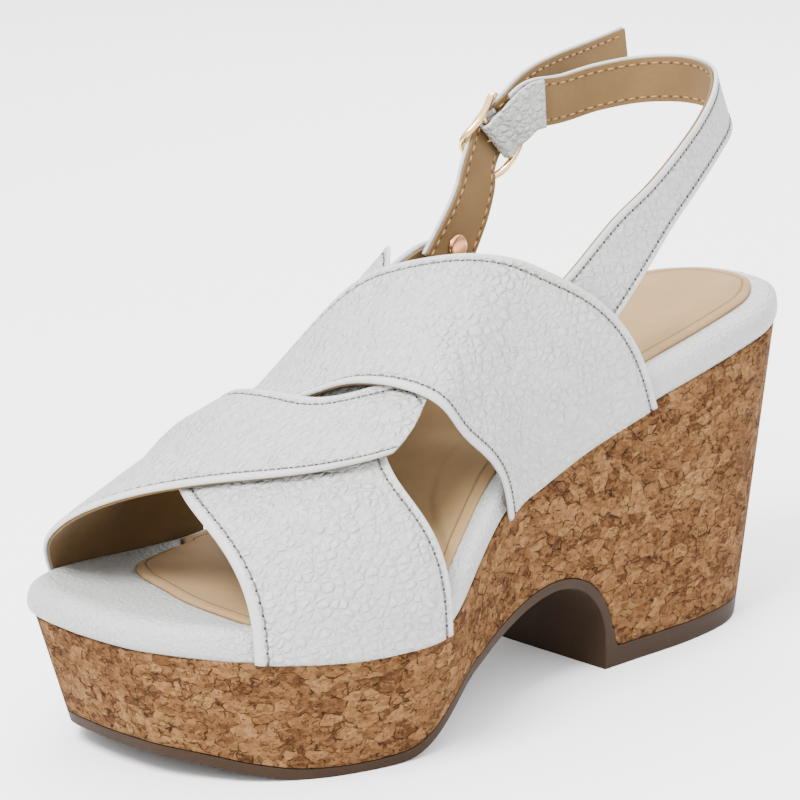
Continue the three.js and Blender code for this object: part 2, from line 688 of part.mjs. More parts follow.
const ankle = new Ribbon([
  {
    at: V(-STRAP_SIDE_X, SLING_PIVOT_Y - 4.2, SLING_PIVOT_Z - 6),
    across: V(-0.1, 0.83, -0.56),
    half: flare(0.85),
  },
  { at: V(-28, 101, 119), across: V(-0.08, 0.83, -0.56), half: flare(0.5) },
  { at: V(-28.4, 105.6, 127.2), across: V(0, 0.82, -0.57), half: flare(0.15) },
  { at: inBuckle(-BUCKLE_LENGTH / 2, 0, STRAP_DIP), across: acrossBuckle, half },
  { at: inBuckle(0, 0, STRAP_ARCH), across: acrossBuckle, half },
  { at: inBuckle(BUCKLE_LENGTH / 2, 0, STRAP_DIP), across: acrossBuckle, half },
  { at: V(-30.6, 131.5, 152.2), across: V(0, 0.42, -0.91), half },
  { at: V(-32.2, 142, 154.2), across: V(0, 0.2, -0.98), half },
  { at: V(-33.6, 153, 155.4), across: V(0, 0.14, -0.99), half },
  { at: V(-34.3, 164, 156.8), across: V(0, 0.12, -0.99), half },
  { at: V(-34.3, 174.5, 158.6), across: V(0, 0.12, -0.99), half },
]);

/** Boxes and posts drawn in the buckle's axes are turned into place by this matrix. */
const buckleFrame = new THREE.Matrix4()
  .makeBasis(alongBuckle, acrossBuckle, outOfBuckle).setPosition(BUCKLE_AT);

function buckleBox(along, across, out) {
  const size = [along, across, out].map(([from, to]) => to - from);
  const middle = [along, across, out].map(([from, to]) => (from + to) / 2);
  const box = new THREE.BoxGeometry(...size);
  box.translate(...middle);
  box.applyMatrix4(buckleFrame);
  return solidOf(box);
}

const EYE_CLEARANCE = 0.3;
const EYE_WALL = 0.8;
const BAR_SLOT = PRONG_WIDTH / 2 + GAP + 0.4;
const PRONG_HOLE = [-5.2, 0.6];
const HOLE_SPACING = 6.5;
const HOLE_RADIUS = 1;
const RIVET_HOLE_RADIUS = RIVET_POST_RADIUS + 0.45;

function acrossShoeCylinder(radius, fromX, toX, y, z, sides = 16) {
  const body = new THREE.CylinderGeometry(radius, radius, Math.abs(toX - fromX), sides);
  body.rotateZ(Math.PI / 2);
  body.translate((fromX + toX) / 2, y, z);
  return solidOf(body);
}

const rivetHole = () => acrossShoeCylinder(
  RIVET_HOLE_RADIUS, -STRAP_SIDE_X - 12, -STRAP_SIDE_X + 12, SLING_PIVOT_Y, SLING_PIVOT_Z);

/** Punched adjustment holes along the buckle strap, apart from the one the prong fills. */
function adjustmentHoles() {
  const length = ankle.route.getLength();
  const barShare = 4 / 10;
  return [-2, 2, 3].map((step) => {
    const f = ankle.frame(barShare + (step * HOLE_SPACING - 3) / length);
    const hole = new THREE.CylinderGeometry(HOLE_RADIUS, HOLE_RADIUS, 5, 10);
    hole.applyQuaternion(new THREE.Quaternion().setFromUnitVectors(V(0, 1, 0), f.out));
    hole.translate(f.at.x, f.at.y, f.at.z);
    return solidOf(hole);
  });
}

function ankleStrapPly(low, high) {
  let ply = solidOf(ankle.strip(0, 1, low, high, 34));
  ply = ply.subtract(rivetHole());
  ply = ply.subtract(buckleBox(PRONG_HOLE, [-BAR_SLOT, BAR_SLOT], [-2, 8]));
  adjustmentHoles().forEach((hole) => { ply = ply.subtract(hole); });
  return ply;
}

/** White leather loop that wraps the centre bar and is sewn back onto the strap. */
function buckleTab() {
  const wrap = BAR_RADIUS + EYE_CLEARANCE + 0.05;
  const low = wrap;
  const high = wrap + 1;
  const middle = (low + high) / 2;
  const knots = [
    inBuckle(4.8, 0, 0.3), inBuckle(3, 0, 1.2), inBuckle(1.2, 0, middle - 0.05),
    inBuckle(-0.6, 0, middle - 0.15), inBuckle(-middle, 0, 0.4), inBuckle(-middle * 0.92, 0, -0.8),
    inBuckle(-0.4, 0, -middle), inBuckle(2, 0, -middle - 0.25), inBuckle(5, 0, -middle - 1.5),
  ].map((at) => ({ at, across: acrossBuckle, half: half - 0.1 }));
  const under = STRAP_LINING + GAP * 1.5 + 0.5 + 0.15;
  [0.995, 0.96, 0.925, 0.89].forEach((t) => {
    const f = sling.frame(t);
    knots.push({
      at: f.at.clone().addScaledVector(f.out, -under),
      across: f.across.clone().negate(),
      half: half - 0.1,
    });
  });
  const loop = new Ribbon(knots);
  return solidOf(loop.strip(0, 1, -0.5, 0.5, 40))
    .subtract(buckleBox([-3.4, 3], [-BAR_SLOT, BAR_SLOT], [-4, 4]));
}

/** Closed wire loop: side rails bowed so that both end bars stand clear of the strap. */
function buckleFrameBody() {
  const reachA = BUCKLE_LENGTH / 2;
  const reachB = STRAP_WIDTH / 2 + 1.1 + BUCKLE_WIRE;
  const lift = STRAP_DIP + STRAP_PLY / 2 + GAP + BUCKLE_WIRE + BUCKLE_PLAY;
  const corner = 2.6;
  const outline = new THREE.Shape();
  outline.moveTo(reachA - corner, -reachB);
  outline.quadraticCurveTo(reachA, -reachB, reachA, -reachB + corner);
  outline.lineTo(reachA, reachB - corner);
  outline.quadraticCurveTo(reachA, reachB, reachA - corner, reachB);
  outline.lineTo(0, reachB);
  outline.lineTo(-reachA + corner, reachB);
  outline.quadraticCurveTo(-reachA, reachB, -reachA, reachB - corner);
  outline.lineTo(-reachA, -reachB + corner);
  outline.quadraticCurveTo(-reachA, -reachB, -reachA + corner, -reachB);
  outline.lineTo(0, -reachB);
  const path = outline.getPoints(4).map((p) => V(p.x, p.y, lift * (p.x / reachA) ** 2));
  const rings = path.map((p, i) => {
    const before = path[(i + path.length - 1) % path.length];
    const after = path[(i + 1) % path.length];
    const along = after.clone().sub(before).normalize();
    const side = new THREE.Vector3().crossVectors(along, V(0, 0, 1)).normalize();
    const up = new THREE.Vector3().crossVectors(side, along);
    const ring = [];
    for (let k = 0; k < 8; k += 1) {
      const angle = (Math.PI * (2 * k + 1)) / 8;
      ring.push(p.clone().addScaledVector(side, BUCKLE_WIRE * Math.cos(angle))
        .addScaledVector(up, BUCKLE_WIRE * Math.sin(angle)));
    }
    return ring;
  });
  const wire = loopOfRings(rings);
  wire.applyMatrix4(buckleFrame);
  const bar = new THREE.CylinderGeometry(BAR_RADIUS, BAR_RADIUS, 2 * reachB, 12);
  bar.applyMatrix4(buckleFrame);
  return solidOf(wire).add(solidOf(bar));
}

/** Prong: an eye round the centre bar and an arm through the strap to the lower end bar. */
function buckleProng() {
  const inner = BAR_RADIUS + EYE_CLEARANCE;
  const eye = new THREE.Shape().absarc(0, 0, inner + EYE_WALL, 0, 2 * Math.PI);
  eye.holes.push(new THREE.Path().absarc(0, 0, inner, 0, 2 * Math.PI, true));
  const eyeBody = new THREE.ExtrudeGeometry(eye, {
    depth: PRONG_WIDTH, bevelEnabled: false, curveSegments: 8,
  });
  eyeBody.translate(0, 0, -PRONG_WIDTH / 2);
  eyeBody.applyMatrix4(new THREE.Matrix4().makeBasis(V(1, 0, 0), V(0, 0, 1), V(0, -1, 0)));
  eyeBody.applyMatrix4(buckleFrame);
  const reach = BUCKLE_LENGTH / 2 + 1.8;
  const lift = STRAP_DIP + STRAP_PLY / 2 + 2 * BUCKLE_WIRE + BUCKLE_PLAY + 2 * GAP + 0.7;
  const path = new THREE.CatmullRomCurve3([
    V(-0.9, 0, 1.3), V(-2, 0, 2.8), V(-3.3, 0, lift - 0.7), V(-5.4, 0, lift + 0.25),
    V(-8, 0, lift + 0.2), V(-reach, 0, lift),
  ], false, "catmullrom", 0.5);
  const section = new THREE.Shape().absarc(0, 0, 0.68, 0, 2 * Math.PI);
  const arm = new THREE.ExtrudeGeometry(section, {
    extrudePath: path, steps: 14, curveSegments: 4, bevelEnabled: false,
  });
  arm.applyMatrix4(buckleFrame);
  const tip = new THREE.SphereGeometry(0.95, 10, 8);
  tip.translate(-reach, 0, lift);
  tip.applyMatrix4(buckleFrame);
  return solidOf(eyeBody).add(solidOf(arm)).add(solidOf(tip));
}

/** Copper rivet that pins the buckle strap inside the under band. */
function rivetLathe(profile, atX, facing) {
  const body = new THREE.LatheGeometry(profile.map(([r, h]) => new THREE.Vector2(r, h)), 20);
  body.rotateZ(facing > 0 ? -Math.PI / 2 : Math.PI / 2);
  body.translate(atX, SLING_PIVOT_Y, SLING_PIVOT_Z);
  return solidOf(body);
}

const RIVET_INNER_X = -STRAP_SIDE_X + STRAP_PLY / 2 + GAP;
const RIVET_OUTER_X = -STRAP_SIDE_X - 5.7;

function rivetHead() {
  const stem = RIVET_INNER_X - RIVET_OUTER_X - 0.6;
  return rivetLathe([
    [0, -stem], [RIVET_POST_RADIUS, -stem], [RIVET_POST_RADIUS, 0], [RIVET_HEAD_RADIUS, 0],
    [RIVET_HEAD_RADIUS, 0.4], [RIVET_HEAD_RADIUS * 0.75, 0.95], [0, 1.1],
  ], RIVET_INNER_X, 1);
}

function rivetCap() {
  return rivetLathe([
    [0, 0.9], [RIVET_POST_RADIUS + 0.1, 0.9], [RIVET_POST_RADIUS + 0.1, 0],
    [RIVET_HEAD_RADIUS, 0], [RIVET_HEAD_RADIUS, 0.5], [RIVET_HEAD_RADIUS * 0.7, 1.3], [0, 1.5],
  ], RIVET_OUTER_X, -1);
}

// ---- Assembly -----------------------------------------------------------------------------
addPart("outsole", outsole(), RUBBER);
addPart("wedge_core", wedgeCore(), CORE_FOAM);
addPart("cork_wrap", corkWrap(), CORK);
addPart("shank", shankSlab(0).subtract(rivetHoles()), STEEL);
addPart("shank_rivet_front", shankRivet(-1), STEEL);
addPart("shank_rivet_rear", shankRivet(1), STEEL);
addPart("insole_board", solidOf(insoleBoard()).subtract(rivetHoles()), BOARD);
addPart("footbed_cover", footbedCover(), WHITE_LEATHER);
addPart("footbed_foam", solidOf(footbedFoam()), FOAM);
addPart("sock_lining", sockLining(), SOCK_SUEDE);

const under = band(UNDER_FRONT, UNDER_REAR, underLift);
addPart("under_band_lining", solidOf(under.lining).subtract(rivetHole()), TAN_LINING);
addPart("under_band", solidOf(under.leather).subtract(rivetHole()), WHITE_LEATHER);
const toe = band(TOE_FRONT, TOE_REAR, toeLift);
addPart("toe_band_lining", toe.lining, TAN_LINING);
addPart("toe_band", toe.leather, WHITE_LEATHER);
const cross = band(CROSS_FRONT, CROSS_REAR, crossLift);
addPart("cross_band_lining", cross.lining, TAN_LINING);
addPart("cross_band", cross.leather, WHITE_LEATHER);

const face = GAP / 2;
addPart("heel_strap", sling.strip(0, 1, face, face + STRAP_LEATHER, 40), WHITE_LEATHER);
addPart("heel_strap_lining",
  sling.strip(0, 0.96, -face - STRAP_LINING, -face, 40, 0.3), TAN_LINING);
addPart("buckle_tab", buckleTab(), WHITE_LEATHER);
addPart("buckle_strap", ankleStrapPly(face, face + STRAP_LEATHER), WHITE_LEATHER);
addPart("buckle_strap_lining", ankleStrapPly(-face - STRAP_LINING, -face), TAN_LINING);
addPart("buckle_frame", buckleFrameBody(), GOLD);
addPart("buckle_prong", buckleProng(), GOLD);
addPart("strap_rivet", rivetHead(), COPPER);
addPart("rivet_cap", rivetCap(), COPPER);

export default sandal;
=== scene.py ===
"""Wedge sandal: fine surfaces, stitching and finishes round the fixed frame of its parts."""
import logging
import math
from dataclasses import dataclass, field
from enum import Enum
from typing import Callable, Iterable, Sequence, Union

import bmesh
import bpy
import numpy as np
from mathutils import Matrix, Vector


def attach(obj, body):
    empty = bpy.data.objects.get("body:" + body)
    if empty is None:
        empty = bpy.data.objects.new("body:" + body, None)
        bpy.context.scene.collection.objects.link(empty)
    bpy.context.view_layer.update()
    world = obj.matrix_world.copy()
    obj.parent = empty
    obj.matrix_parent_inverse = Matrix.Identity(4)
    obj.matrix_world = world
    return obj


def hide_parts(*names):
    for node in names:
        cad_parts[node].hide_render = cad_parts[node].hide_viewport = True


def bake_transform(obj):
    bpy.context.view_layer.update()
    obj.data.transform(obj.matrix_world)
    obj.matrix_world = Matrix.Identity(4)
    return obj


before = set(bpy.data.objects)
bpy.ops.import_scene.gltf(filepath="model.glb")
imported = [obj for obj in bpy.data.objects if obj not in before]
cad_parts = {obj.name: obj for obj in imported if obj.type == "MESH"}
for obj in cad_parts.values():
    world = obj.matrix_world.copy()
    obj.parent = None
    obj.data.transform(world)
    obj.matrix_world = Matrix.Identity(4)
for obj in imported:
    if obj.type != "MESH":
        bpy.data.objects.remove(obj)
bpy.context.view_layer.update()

LOG = logging.getLogger("sandal")
MM = 0.001
WELD = 2e-6
EDGE = "edge_mm"
LINING_SINK = 0.12
Array = np.ndarray
Colour = tuple[float, float, float]


class Body(Enum):
    """Moving bodies of the sandal."""

    SOLE = "sole"
    SLING = "sling"
    BUCKLE = "buckle"
    PRONG = "prong"


@dataclass(frozen=True)
class Bend:
    """Stretch of leather between a place on the sole and one on the sling."""

    start: tuple[float, float, float]
    end: tuple[float, float, float]


Carrier = Union[Body, Bend]


class Slot(Enum):
    """Material slots of the record."""

    WHITE = "white_leather"
    TAN = "tan_lining"
    SOCK = "sock_suede"
    CORK = "cork"
    RUBBER = "rubber"
    GOLD = "pale_gold"
    COPPER = "rivet_copper"


# ---- Curves and small mathematics ---------------------------------------------------------
def smooth(low: float, high: float, value: Array) -> Array:
    """Smooth step from 0 at low to 1 at high."""
    t = np.clip((np.asarray(value, float) - low) / (high - low), 0, 1)
    return t * t * (3 - 2 * t)


def mix(a: Array, b: Array, t: Array) -> Array:
    """Linear blend from a to b."""
    return a + (b - a) * t


def bell(value: Array, middle: float, width: float) -> Array:
    """Bell-shaped bump of height 1."""
    return np.exp(-(((value - middle) / width) ** 2))


def unit(vectors: Array) -> Array:
    """Vectors scaled to length 1."""
    return vectors / np.maximum(np.linalg.norm(vectors, axis=-1, keepdims=True), 1e-9)


def spline(points: Array, t: Array) -> Array:
    """Uniform Catmull-Rom curve through points.

    Args:
        points: Knots, one row each.
        t: Shares of the curve, 0 at the first knot and 1 at the last.

    Returns:
        One row for each share.
    """
    knots = np.asarray(points, float)
    wide = np.vstack([2 * knots[0] - knots[1], knots, 2 * knots[-1] - knots[-2]])
    spans = len(knots) - 1
    place = np.clip(np.asarray(t, float), 0, 1) * spans
    i = np.minimum(place.astype(int), spans - 1)
    w = (place - i)[..., None]
    a, b, c, d = wide[i], wide[i + 1], wide[i + 2], wide[i + 3]
    enter, leave = (c - a) / 2, (d - b) / 2
    return b + enter * w + (3 * (c - b) - 2 * enter - leave) * w**2 + (2 * (b - c) + enter + leave) * w**3


def faired(pairs: Sequence[tuple[float, float]], passes: int = 48, samples: int = 120) -> Array:
    """Edge of a band through its (angle, y) points, faired as a pattern cutter would."""
    points = spline(np.array(pairs, float), np.linspace(0, 1, samples + 1))
    for _ in range(passes):
        points[1:-1] = (points[:-2] + 2 * points[1:-1] + points[2:]) / 4
    return points


def table(pairs: Sequence[tuple[float, float]]) -> Callable[[Array], Array]:
    """Function that reads a smooth curve through (x, y) pairs with x rising."""
    samples = spline(np.array(pairs), np.linspace(0, 1, 20 * (len(pairs) - 1) + 1))
    return lambda x: np.interp(x, samples[:, 0], samples[:, 1])


def arc_length(points: Array) -> Array:
    """Running length along a row of points, from 0."""
    steps = np.linalg.norm(np.diff(points, axis=0), axis=1)
    return np.concatenate([[0], np.cumsum(steps)])


# ---- Mesh building ------------------------------------------------------------------------
def grid_faces(rows: int, columns: int, first: int = 0, flip: bool = False) -> list[tuple[int, ...]]:
    """Quads of a grid of rows x columns vertices that starts at vertex first."""
    faces = []
    for r in range(rows - 1):
        for c in range(columns - 1):
            a = first + r * columns + c
            quad = (a, a + 1, a + columns + 1, a + columns)
            faces.append(quad[::-1] if flip else quad)
    return faces


def make_mesh(
    name: str, points: Array, faces: Iterable[Sequence[int]], materials: Sequence[bpy.types.Material],
    face_material: Sequence[int] | None = None, edge: Array | None = None,
) -> bpy.types.Object:
    """Welded, smooth-shaded mesh object.

    Args:
        name: Piece name.
        points: Vertices in millimetres.
        faces: Vertex numbers of each face.
        materials: Materials in slot order.
        face_material: Material number of each face, all 0 when left out.
        edge: Distance of each vertex from the piece's edge, in millimetres.

    Returns:
        The new object, linked to the scene.
    """
    mesh = bpy.data.meshes.new(name)
    mesh.from_pydata([tuple(p) for p in np.asarray(points).reshape(-1, 3) * MM], [], list(faces))
    for material in materials:
        mesh.materials.append(material)
    if face_material is not None:
        mesh.polygons.foreach_set("material_index", list(face_material))
    if edge is not None:
        mesh.attributes.new(EDGE, "FLOAT", "POINT").data.foreach_set("value", np.ravel(edge))
    shape = bmesh.new()
    shape.from_mesh(mesh)
    bmesh.ops.remove_doubles(shape, verts=shape.verts, dist=WELD)
    bmesh.ops.dissolve_degenerate(shape, edges=shape.edges, dist=WELD)
    bmesh.ops.recalc_face_normals(shape, faces=shape.faces)
    shape.to_mesh(mesh)
    shape.free()
    mesh.polygons.foreach_set("use_smooth", [True] * len(mesh.polygons))
    piece = bpy.data.objects.new(name, mesh)
    bpy.context.scene.collection.objects.link(piece)
    return piece


def closed_sheet(outer: Array, inner: Array) -> tuple[Array, list[tuple[int, ...]]]:
    """Vertices and faces of the closed body between two grids of points."""
    rows, columns = outer.shape[:2]
    shift = rows * columns
    faces = grid_faces(rows, columns) + grid_faces(rows, columns, shift, True)
    for r in range(rows - 1):
        a, b = r * columns, (r + 1) * columns
        faces.append((a, b, b + shift, a + shift))
        a, b = a + columns - 1, b + columns - 1
        faces.append((b, a, a + shift, b + shift))
    for c in range(columns - 1):
        last = (rows - 1) * columns + c
        faces.append((c + 1, c, c + shift, c + 1 + shift))
        faces.append((last, last + 1, last + 1 + shift, last + shift))
    return np.concatenate([outer.reshape(-1, 3), inner.reshape(-1, 3)]), faces


def add_solidify(piece: bpy.types.Object, thickness: float) -> None:
    """Thicken a surface inwards, in millimetres."""
    modifier = piece.modifiers.new("thickness", "SOLIDIFY")
    modifier.thickness = thickness * MM
    modifier.offset = -1


def place(piece: bpy.types.Object, carrier: Carrier, slot: Slot, *nodes: str) -> bpy.types.Object:
    """Give a finished piece what carries it, in place of the named nodes."""
    if nodes:
        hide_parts(*nodes)
    if isinstance(carrier, Bend):
        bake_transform(piece)
    else:
        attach(piece, carrier.value)
    LOG.info("piece %s on %s", piece.name, carrier)
    return piece


# ---- Shader building ----------------------------------------------------------------------
class Link:
    """A shader socket that adds Math nodes where it is used in an expression."""

    def __init__(self, tree: bpy.types.NodeTree, socket: bpy.types.NodeSocket) -> None:
        """Wrap an output socket of tree."""
        self.tree = tree
        self.socket = socket

    def _math(self, operation: str, first: "Value", second: "Value") -> "Link":
        """Math node of two values."""
        return add_node(self.tree, "ShaderNodeMath", {"operation": operation}, {0: first, 1: second})

    def __add__(self, other: "Value") -> "Link":
        """Sum."""
        return self._math("ADD", self, other)

    def __radd__(self, other: float) -> "Link":
        """Sum with a number on the left."""
        return self._math("ADD", other, self)

    def __sub__(self, other: "Value") -> "Link":
        """Difference."""
        return self._math("SUBTRACT", self, other)

    def __rsub__(self, other: float) -> "Link":
        """Difference from a number on the left."""
        return self._math("SUBTRACT", other, self)

    def __mul__(self, other: "Value") -> "Link":
        """Product."""
        return self._math("MULTIPLY", self, other)

    def __rmul__(self, other: float) -> "Link":
        """Product with a number on the left."""
        return self._math("MULTIPLY", other, self)

    def highest(self, other: "Value") -> "Link":
        """Larger of the two."""
        return self._math("MAXIMUM", self, other)

    def ramp(self, low: float, high: float) -> "Link":
        """Smooth step from 0 at low to 1 at high."""
        sizes = {"Value": self, "From Min": low, "From Max": high, "To Min": 0.0, "To Max": 1.0}
        return add_node(self.tree, "ShaderNodeMapRange", {"interpolation_type": "SMOOTHSTEP"}, sizes)


Value = Union[Link, float]


def add_node(
    tree: bpy.types.NodeTree, kind: str, settings: dict[str, object],
    inputs: dict[Union[str, int], object], output: Union[str, int] = 0,
) -> Link:
    """Add one node.

    Args:
        tree: Node tree of the material.
        kind: Node type.
        settings: Node properties, which are set first.
        inputs: Values or links by socket name or number.
        output: Output socket that the result wraps.

    Returns:
        The wrapped output socket.
    """
    node = tree.nodes.new(kind)
    for key, value in settings.items():
        setattr(node, key, value)
    for key, value in inputs.items():
        if isinstance(value, Link):
            tree.links.new(value.socket, node.inputs[key])
        else:
            node.inputs[key].default_value = value
    return Link(tree, node.outputs[output])


def rgba(colour: Colour) -> tuple[float, float, float, float]:
    """Colour with full alpha."""
    return (*colour, 1.0)


class Shader:
    """A material under construction, with textures measured in millimetres of the piece."""

    def __init__(self, name: str, constants: dict[str, object]) -> None:
        """Start a material whose Principled shader has the given constant sockets."""
        self.material = bpy.data.materials.new(name)
        self.material.use_nodes = True
        self.tree = self.material.node_tree
        self.principled = self.tree.nodes["Principled BSDF"]
        for key, value in constants.items():
            self.principled.inputs[key].default_value = value
        place_on = add_node(self.tree, "ShaderNodeTexCoord", {}, {}, "Object")
        scale = {0: place_on, 1: (1 / MM, 1 / MM, 1 / MM)}
        self.at = add_node(self.tree, "ShaderNodeVectorMath", {"operation": "MULTIPLY"}, scale)

    def stretched(self, scale: tuple[float, float, float]) -> Link:
        """Texture place with each axis scaled."""
        return add_node(self.tree, "ShaderNodeVectorMath", {"operation": "MULTIPLY"}, {0: self.at, 1: scale})

    def warped(self, at: Link, size: float, amount: float) -> Link:
        """Texture place pushed about by noise of a given size, in millimetres."""
        cloud = self.noise(size, 2.0, at=at, output="Color")
        centred = add_node(
            self.tree, "ShaderNodeVectorMath", {"operation": "SUBTRACT"}, {0: cloud, 1: (0.5,) * 3})
        push = add_node(
            self.tree, "ShaderNodeVectorMath", {"operation": "SCALE"}, {0: centred, "Scale": amount})
        return add_node(self.tree, "ShaderNodeVectorMath", {"operation": "ADD"}, {0: at, 1: push})

    def noise(self, size: float, detail: float = 2.0, at: Link | None = None, output: str = "Fac") -> Link:
        """Noise with features of a given size, in millimetres."""
        sockets = {"Vector": at or self.at, "Scale": 1 / size, "Detail": detail, "Roughness": 0.55}
        return add_node(self.tree, "ShaderNodeTexNoise", {}, sockets, output)

    def cells(self, size: float, at: Link, feature: str = "F1", output: str = "Distance") -> Link:
        """Cell texture with cells of a given size, in millimetres."""
        sockets = {"Vector": at, "Scale": 1 / size, "Randomness": 1.0}
        return add_node(self.tree, "ShaderNodeTexVoronoi", {"feature": feature}, sockets, output)

    def blend(self, factor: Value, a: object, b: object) -> Link:
        """Colour mix from a to b; a and b are links or colours."""
        ends = {0: factor, 6: a if isinstance(a, Link) else rgba(a), 7: b if isinstance(b, Link) else rgba(b)}
        return add_node(self.tree, "ShaderNodeMix", {"data_type": "RGBA"}, ends, 2)

    def attribute(self, name: str) -> Link:
        """Number stored on the mesh's points."""
        return add_node(self.tree, "ShaderNodeAttribute", {"attribute_name": name}, {}, "Fac")

    def bump(self, height: Link, depth: float, under: Link | None = None) -> Link:
        """Normal bumped by a height from 0 to 1 that stands for a depth in millimetres."""
        sockets: dict[Union[str, int], object] = {"Height": height, "Strength": 1.0, "Distance": depth * MM}
        if under is not None:
            sockets["Normal"] = under
        return add_node(self.tree, "ShaderNodeBump", {}, sockets)

    def finish(self, colour: Link, roughness: Link, normal: Link | None = None) -> bpy.types.Material:
        """Connect the varying sockets and return the material."""
        self.tree.links.new(colour.socket, self.principled.inputs["Base Color"])
        self.tree.links.new(roughness.socket, self.principled.inputs["Roughness"])
        if normal is not None:
            self.tree.links.new(normal.socket, self.principled.inputs["Normal"])
        return self.material


@dataclass(frozen=True)
class Leather:
    """Grained leather: soft rounded pebbles parted by fine creases."""

    colour: Colour
    crease: Colour
    pebble: float
    depth: float
    roughness: float
    turned_edge: float = 0.0

    def material(self, name: str) -> bpy.types.Material:
        """Build the leather; a turned edge is stretched almost smooth."""
        shader = Shader(name, {"Specular IOR Level": 0.4})
        at = shader.warped(shader.stretched((1.25, 0.8, 1.05)), self.pebble * 3.4, self.pebble * 0.9)
        seams = shader.cells(self.pebble, at, "DISTANCE_TO_EDGE").ramp(0.0, 0.32)
        puff = 1 - shader.cells(self.pebble, at, "SMOOTH_F1").ramp(0.15, 0.8)
        fine = shader.cells(self.pebble * 0.45, at, "DISTANCE_TO_EDGE").ramp(0.0, 0.25)
        patches = shader.noise(self.pebble * 6, 2.0).ramp(0.3, 0.68)
        grain = seams * (0.35 + 0.35 * patches) + puff * 0.35 + fine * (0.2 - 0.12 * patches)
        fold_at = shader.warped(shader.stretched((0.5, 1.0, 0.35)), 9.0, 5.0)
        folds = shader.noise(4.5, 2.0, at=fold_at)
        if self.turned_edge > 0:
            kept = shader.attribute(EDGE).ramp(self.turned_edge - 0.4, self.turned_edge + 1.0)
            grain = 1 - (1 - grain) * (0.12 + 0.88 * kept)
            folds = folds * (0.2 + 0.8 * kept)
        pores = shader.noise(0.35, 3.0)
        tone = shader.blend(grain.ramp(0.2, 0.6), self.crease, self.colour)
        cloud = shader.noise(22.0, 3.0).ramp(0.3, 0.75)
        tone = shader.blend(cloud * 0.5, tone, tuple(c * 0.95 for c in self.colour))
        normal = shader.bump(folds, self.depth * 1.2)
        normal = shader.bump(grain, self.depth, normal)
        normal = shader.bump(pores, self.depth * 0.15, normal)
        return shader.finish(tone, self.roughness + 0.1 * pores - 0.06 * grain, normal)


@dataclass(frozen=True)
class Nubuck:
    """Brushed lining leather: a fine nap with soft clouds."""

    colour: Colour
    shade: Colour
    nap: float
    roughness: float
    margin: float = 0.0

    def material(self, name: str) -> bpy.types.Material:
        """Build the nubuck, with a pressed line where the piece has a margin."""
        shader = Shader(name, {"Specular IOR Level": 0.05, "Sheen Weight": 0.04, "Sheen Roughness": 0.6})
        cloud = shader.noise(14.0, 4.0).ramp(0.25, 0.8)
        nap = shader.noise(self.nap, 4.0)
        tone = shader.blend(cloud * 0.6 + nap * 0.4, self.shade, self.colour)
        normal = shader.bump(nap, 0.05)
        if self.margin > 0:
            edge = shader.attribute(EDGE)
            line = (edge - self.margin).ramp(-0.55, 0.0) * (1 - (edge - self.margin).ramp(0.0, 0.55))
            tone = shader.blend(line * 0.5, tone, tuple(c * 0.62 for c in self.shade))
            normal = shader.bump(1 - line, 0.4, normal)
        return shader.finish(tone, self.roughness + 0.12 * cloud, normal)


@dataclass(frozen=True)
class Cork:
    """Pressed cork sheet: long flakes of several browns with dark seams, pits and specks."""

    pale: Colour
    middle: Colour
    dark: Colour
    seam: Colour
    flake: float

    def material(self, name: str) -> bpy.types.Material:
        """Build the cork."""
        shader = Shader(name, {"Specular IOR Level": 0.03})
        at = shader.warped(shader.stretched((1.0, 0.7, 1.1)), self.flake, self.flake * 0.85)
        tint = shader.cells(self.flake, at, "F1", "Color")
        small_at = shader.warped(shader.stretched((1.0, 0.8, 1.3)), self.flake * 0.5, self.flake * 0.45)
        chips = shader.cells(self.flake * 0.36, small_at, "F1", "Color")
        tint_value = add_node(shader.tree, "ShaderNodeSeparateColor", {}, {"Color": tint}, 0)
        chip_value = add_node(shader.tree, "ShaderNodeSeparateColor", {}, {"Color": chips}, 1)
        fibre = shader.noise(1.1, 5.0)
        level = tint_value * 0.38 + chip_value * 0.34 + fibre * 0.42
        tone = shader.blend(level.ramp(0.2, 0.62), self.dark, self.middle)
        tone = shader.blend(level.ramp(0.52, 0.98), tone, self.pale)
        gap = shader.cells(self.flake, at, "DISTANCE_TO_EDGE")
        broken = shader.noise(2.2, 3.0).ramp(0.45, 0.6)
        seams = (1 - gap.ramp(0.0, 0.07)) * broken
        chip_gap = shader.cells(self.flake * 0.36, small_at, "DISTANCE_TO_EDGE")
        chip_seams = (1 - chip_gap.ramp(0.0, 0.07)) * shader.noise(3.0, 2.0).ramp(0.5, 0.64)
        specks = shader.noise(0.75, 2.0).ramp(0.645, 0.7)
        cracks = seams.highest(chip_seams * 0.8).highest(specks * 0.8)
        tone = shader.blend(cracks * 0.85, tone, self.seam)
        height = level * 0.35 + (1 - cracks) * 0.65
        return shader.finish(tone, 0.72 + 0.2 * fibre, shader.bump(height, 0.55))


@dataclass(frozen=True)
class Moulded:
    """Moulded, pressed or foamed stuff with faint clouds and a fine tooth."""

    colour: Colour
    tooth: float
    depth: float
    roughness: float

    def material(self, name: str) -> bpy.types.Material:
        """Build the moulded stuff."""
        shader = Shader(name, {"Specular IOR Level": 0.12})
        cloud = shader.noise(18.0, 3.0).ramp(0.3, 0.7)
        tooth = shader.noise(self.tooth, 3.0)
        tone = shader.blend(cloud, tuple(c * 0.85 for c in self.colour), self.colour)
        return shader.finish(tone, self.roughness + 0.14 * tooth, shader.bump(tooth, self.depth))


@dataclass(frozen=True)
class Metal:
    """Plated metal with faint handling marks."""

    colour: Colour
    roughness: float

    def material(self, name: str) -> bpy.types.Material:
        """Build the metal."""
        shader = Shader(name, {"Metallic": 1.0})
        marks = shader.noise(1.6, 4.0)
        tone = shader.blend(marks, tuple(c * 0.9 for c in self.colour), self.colour)
        return shader.finish(tone, self.roughness + 0.1 * marks, shader.bump(marks, 0.02))


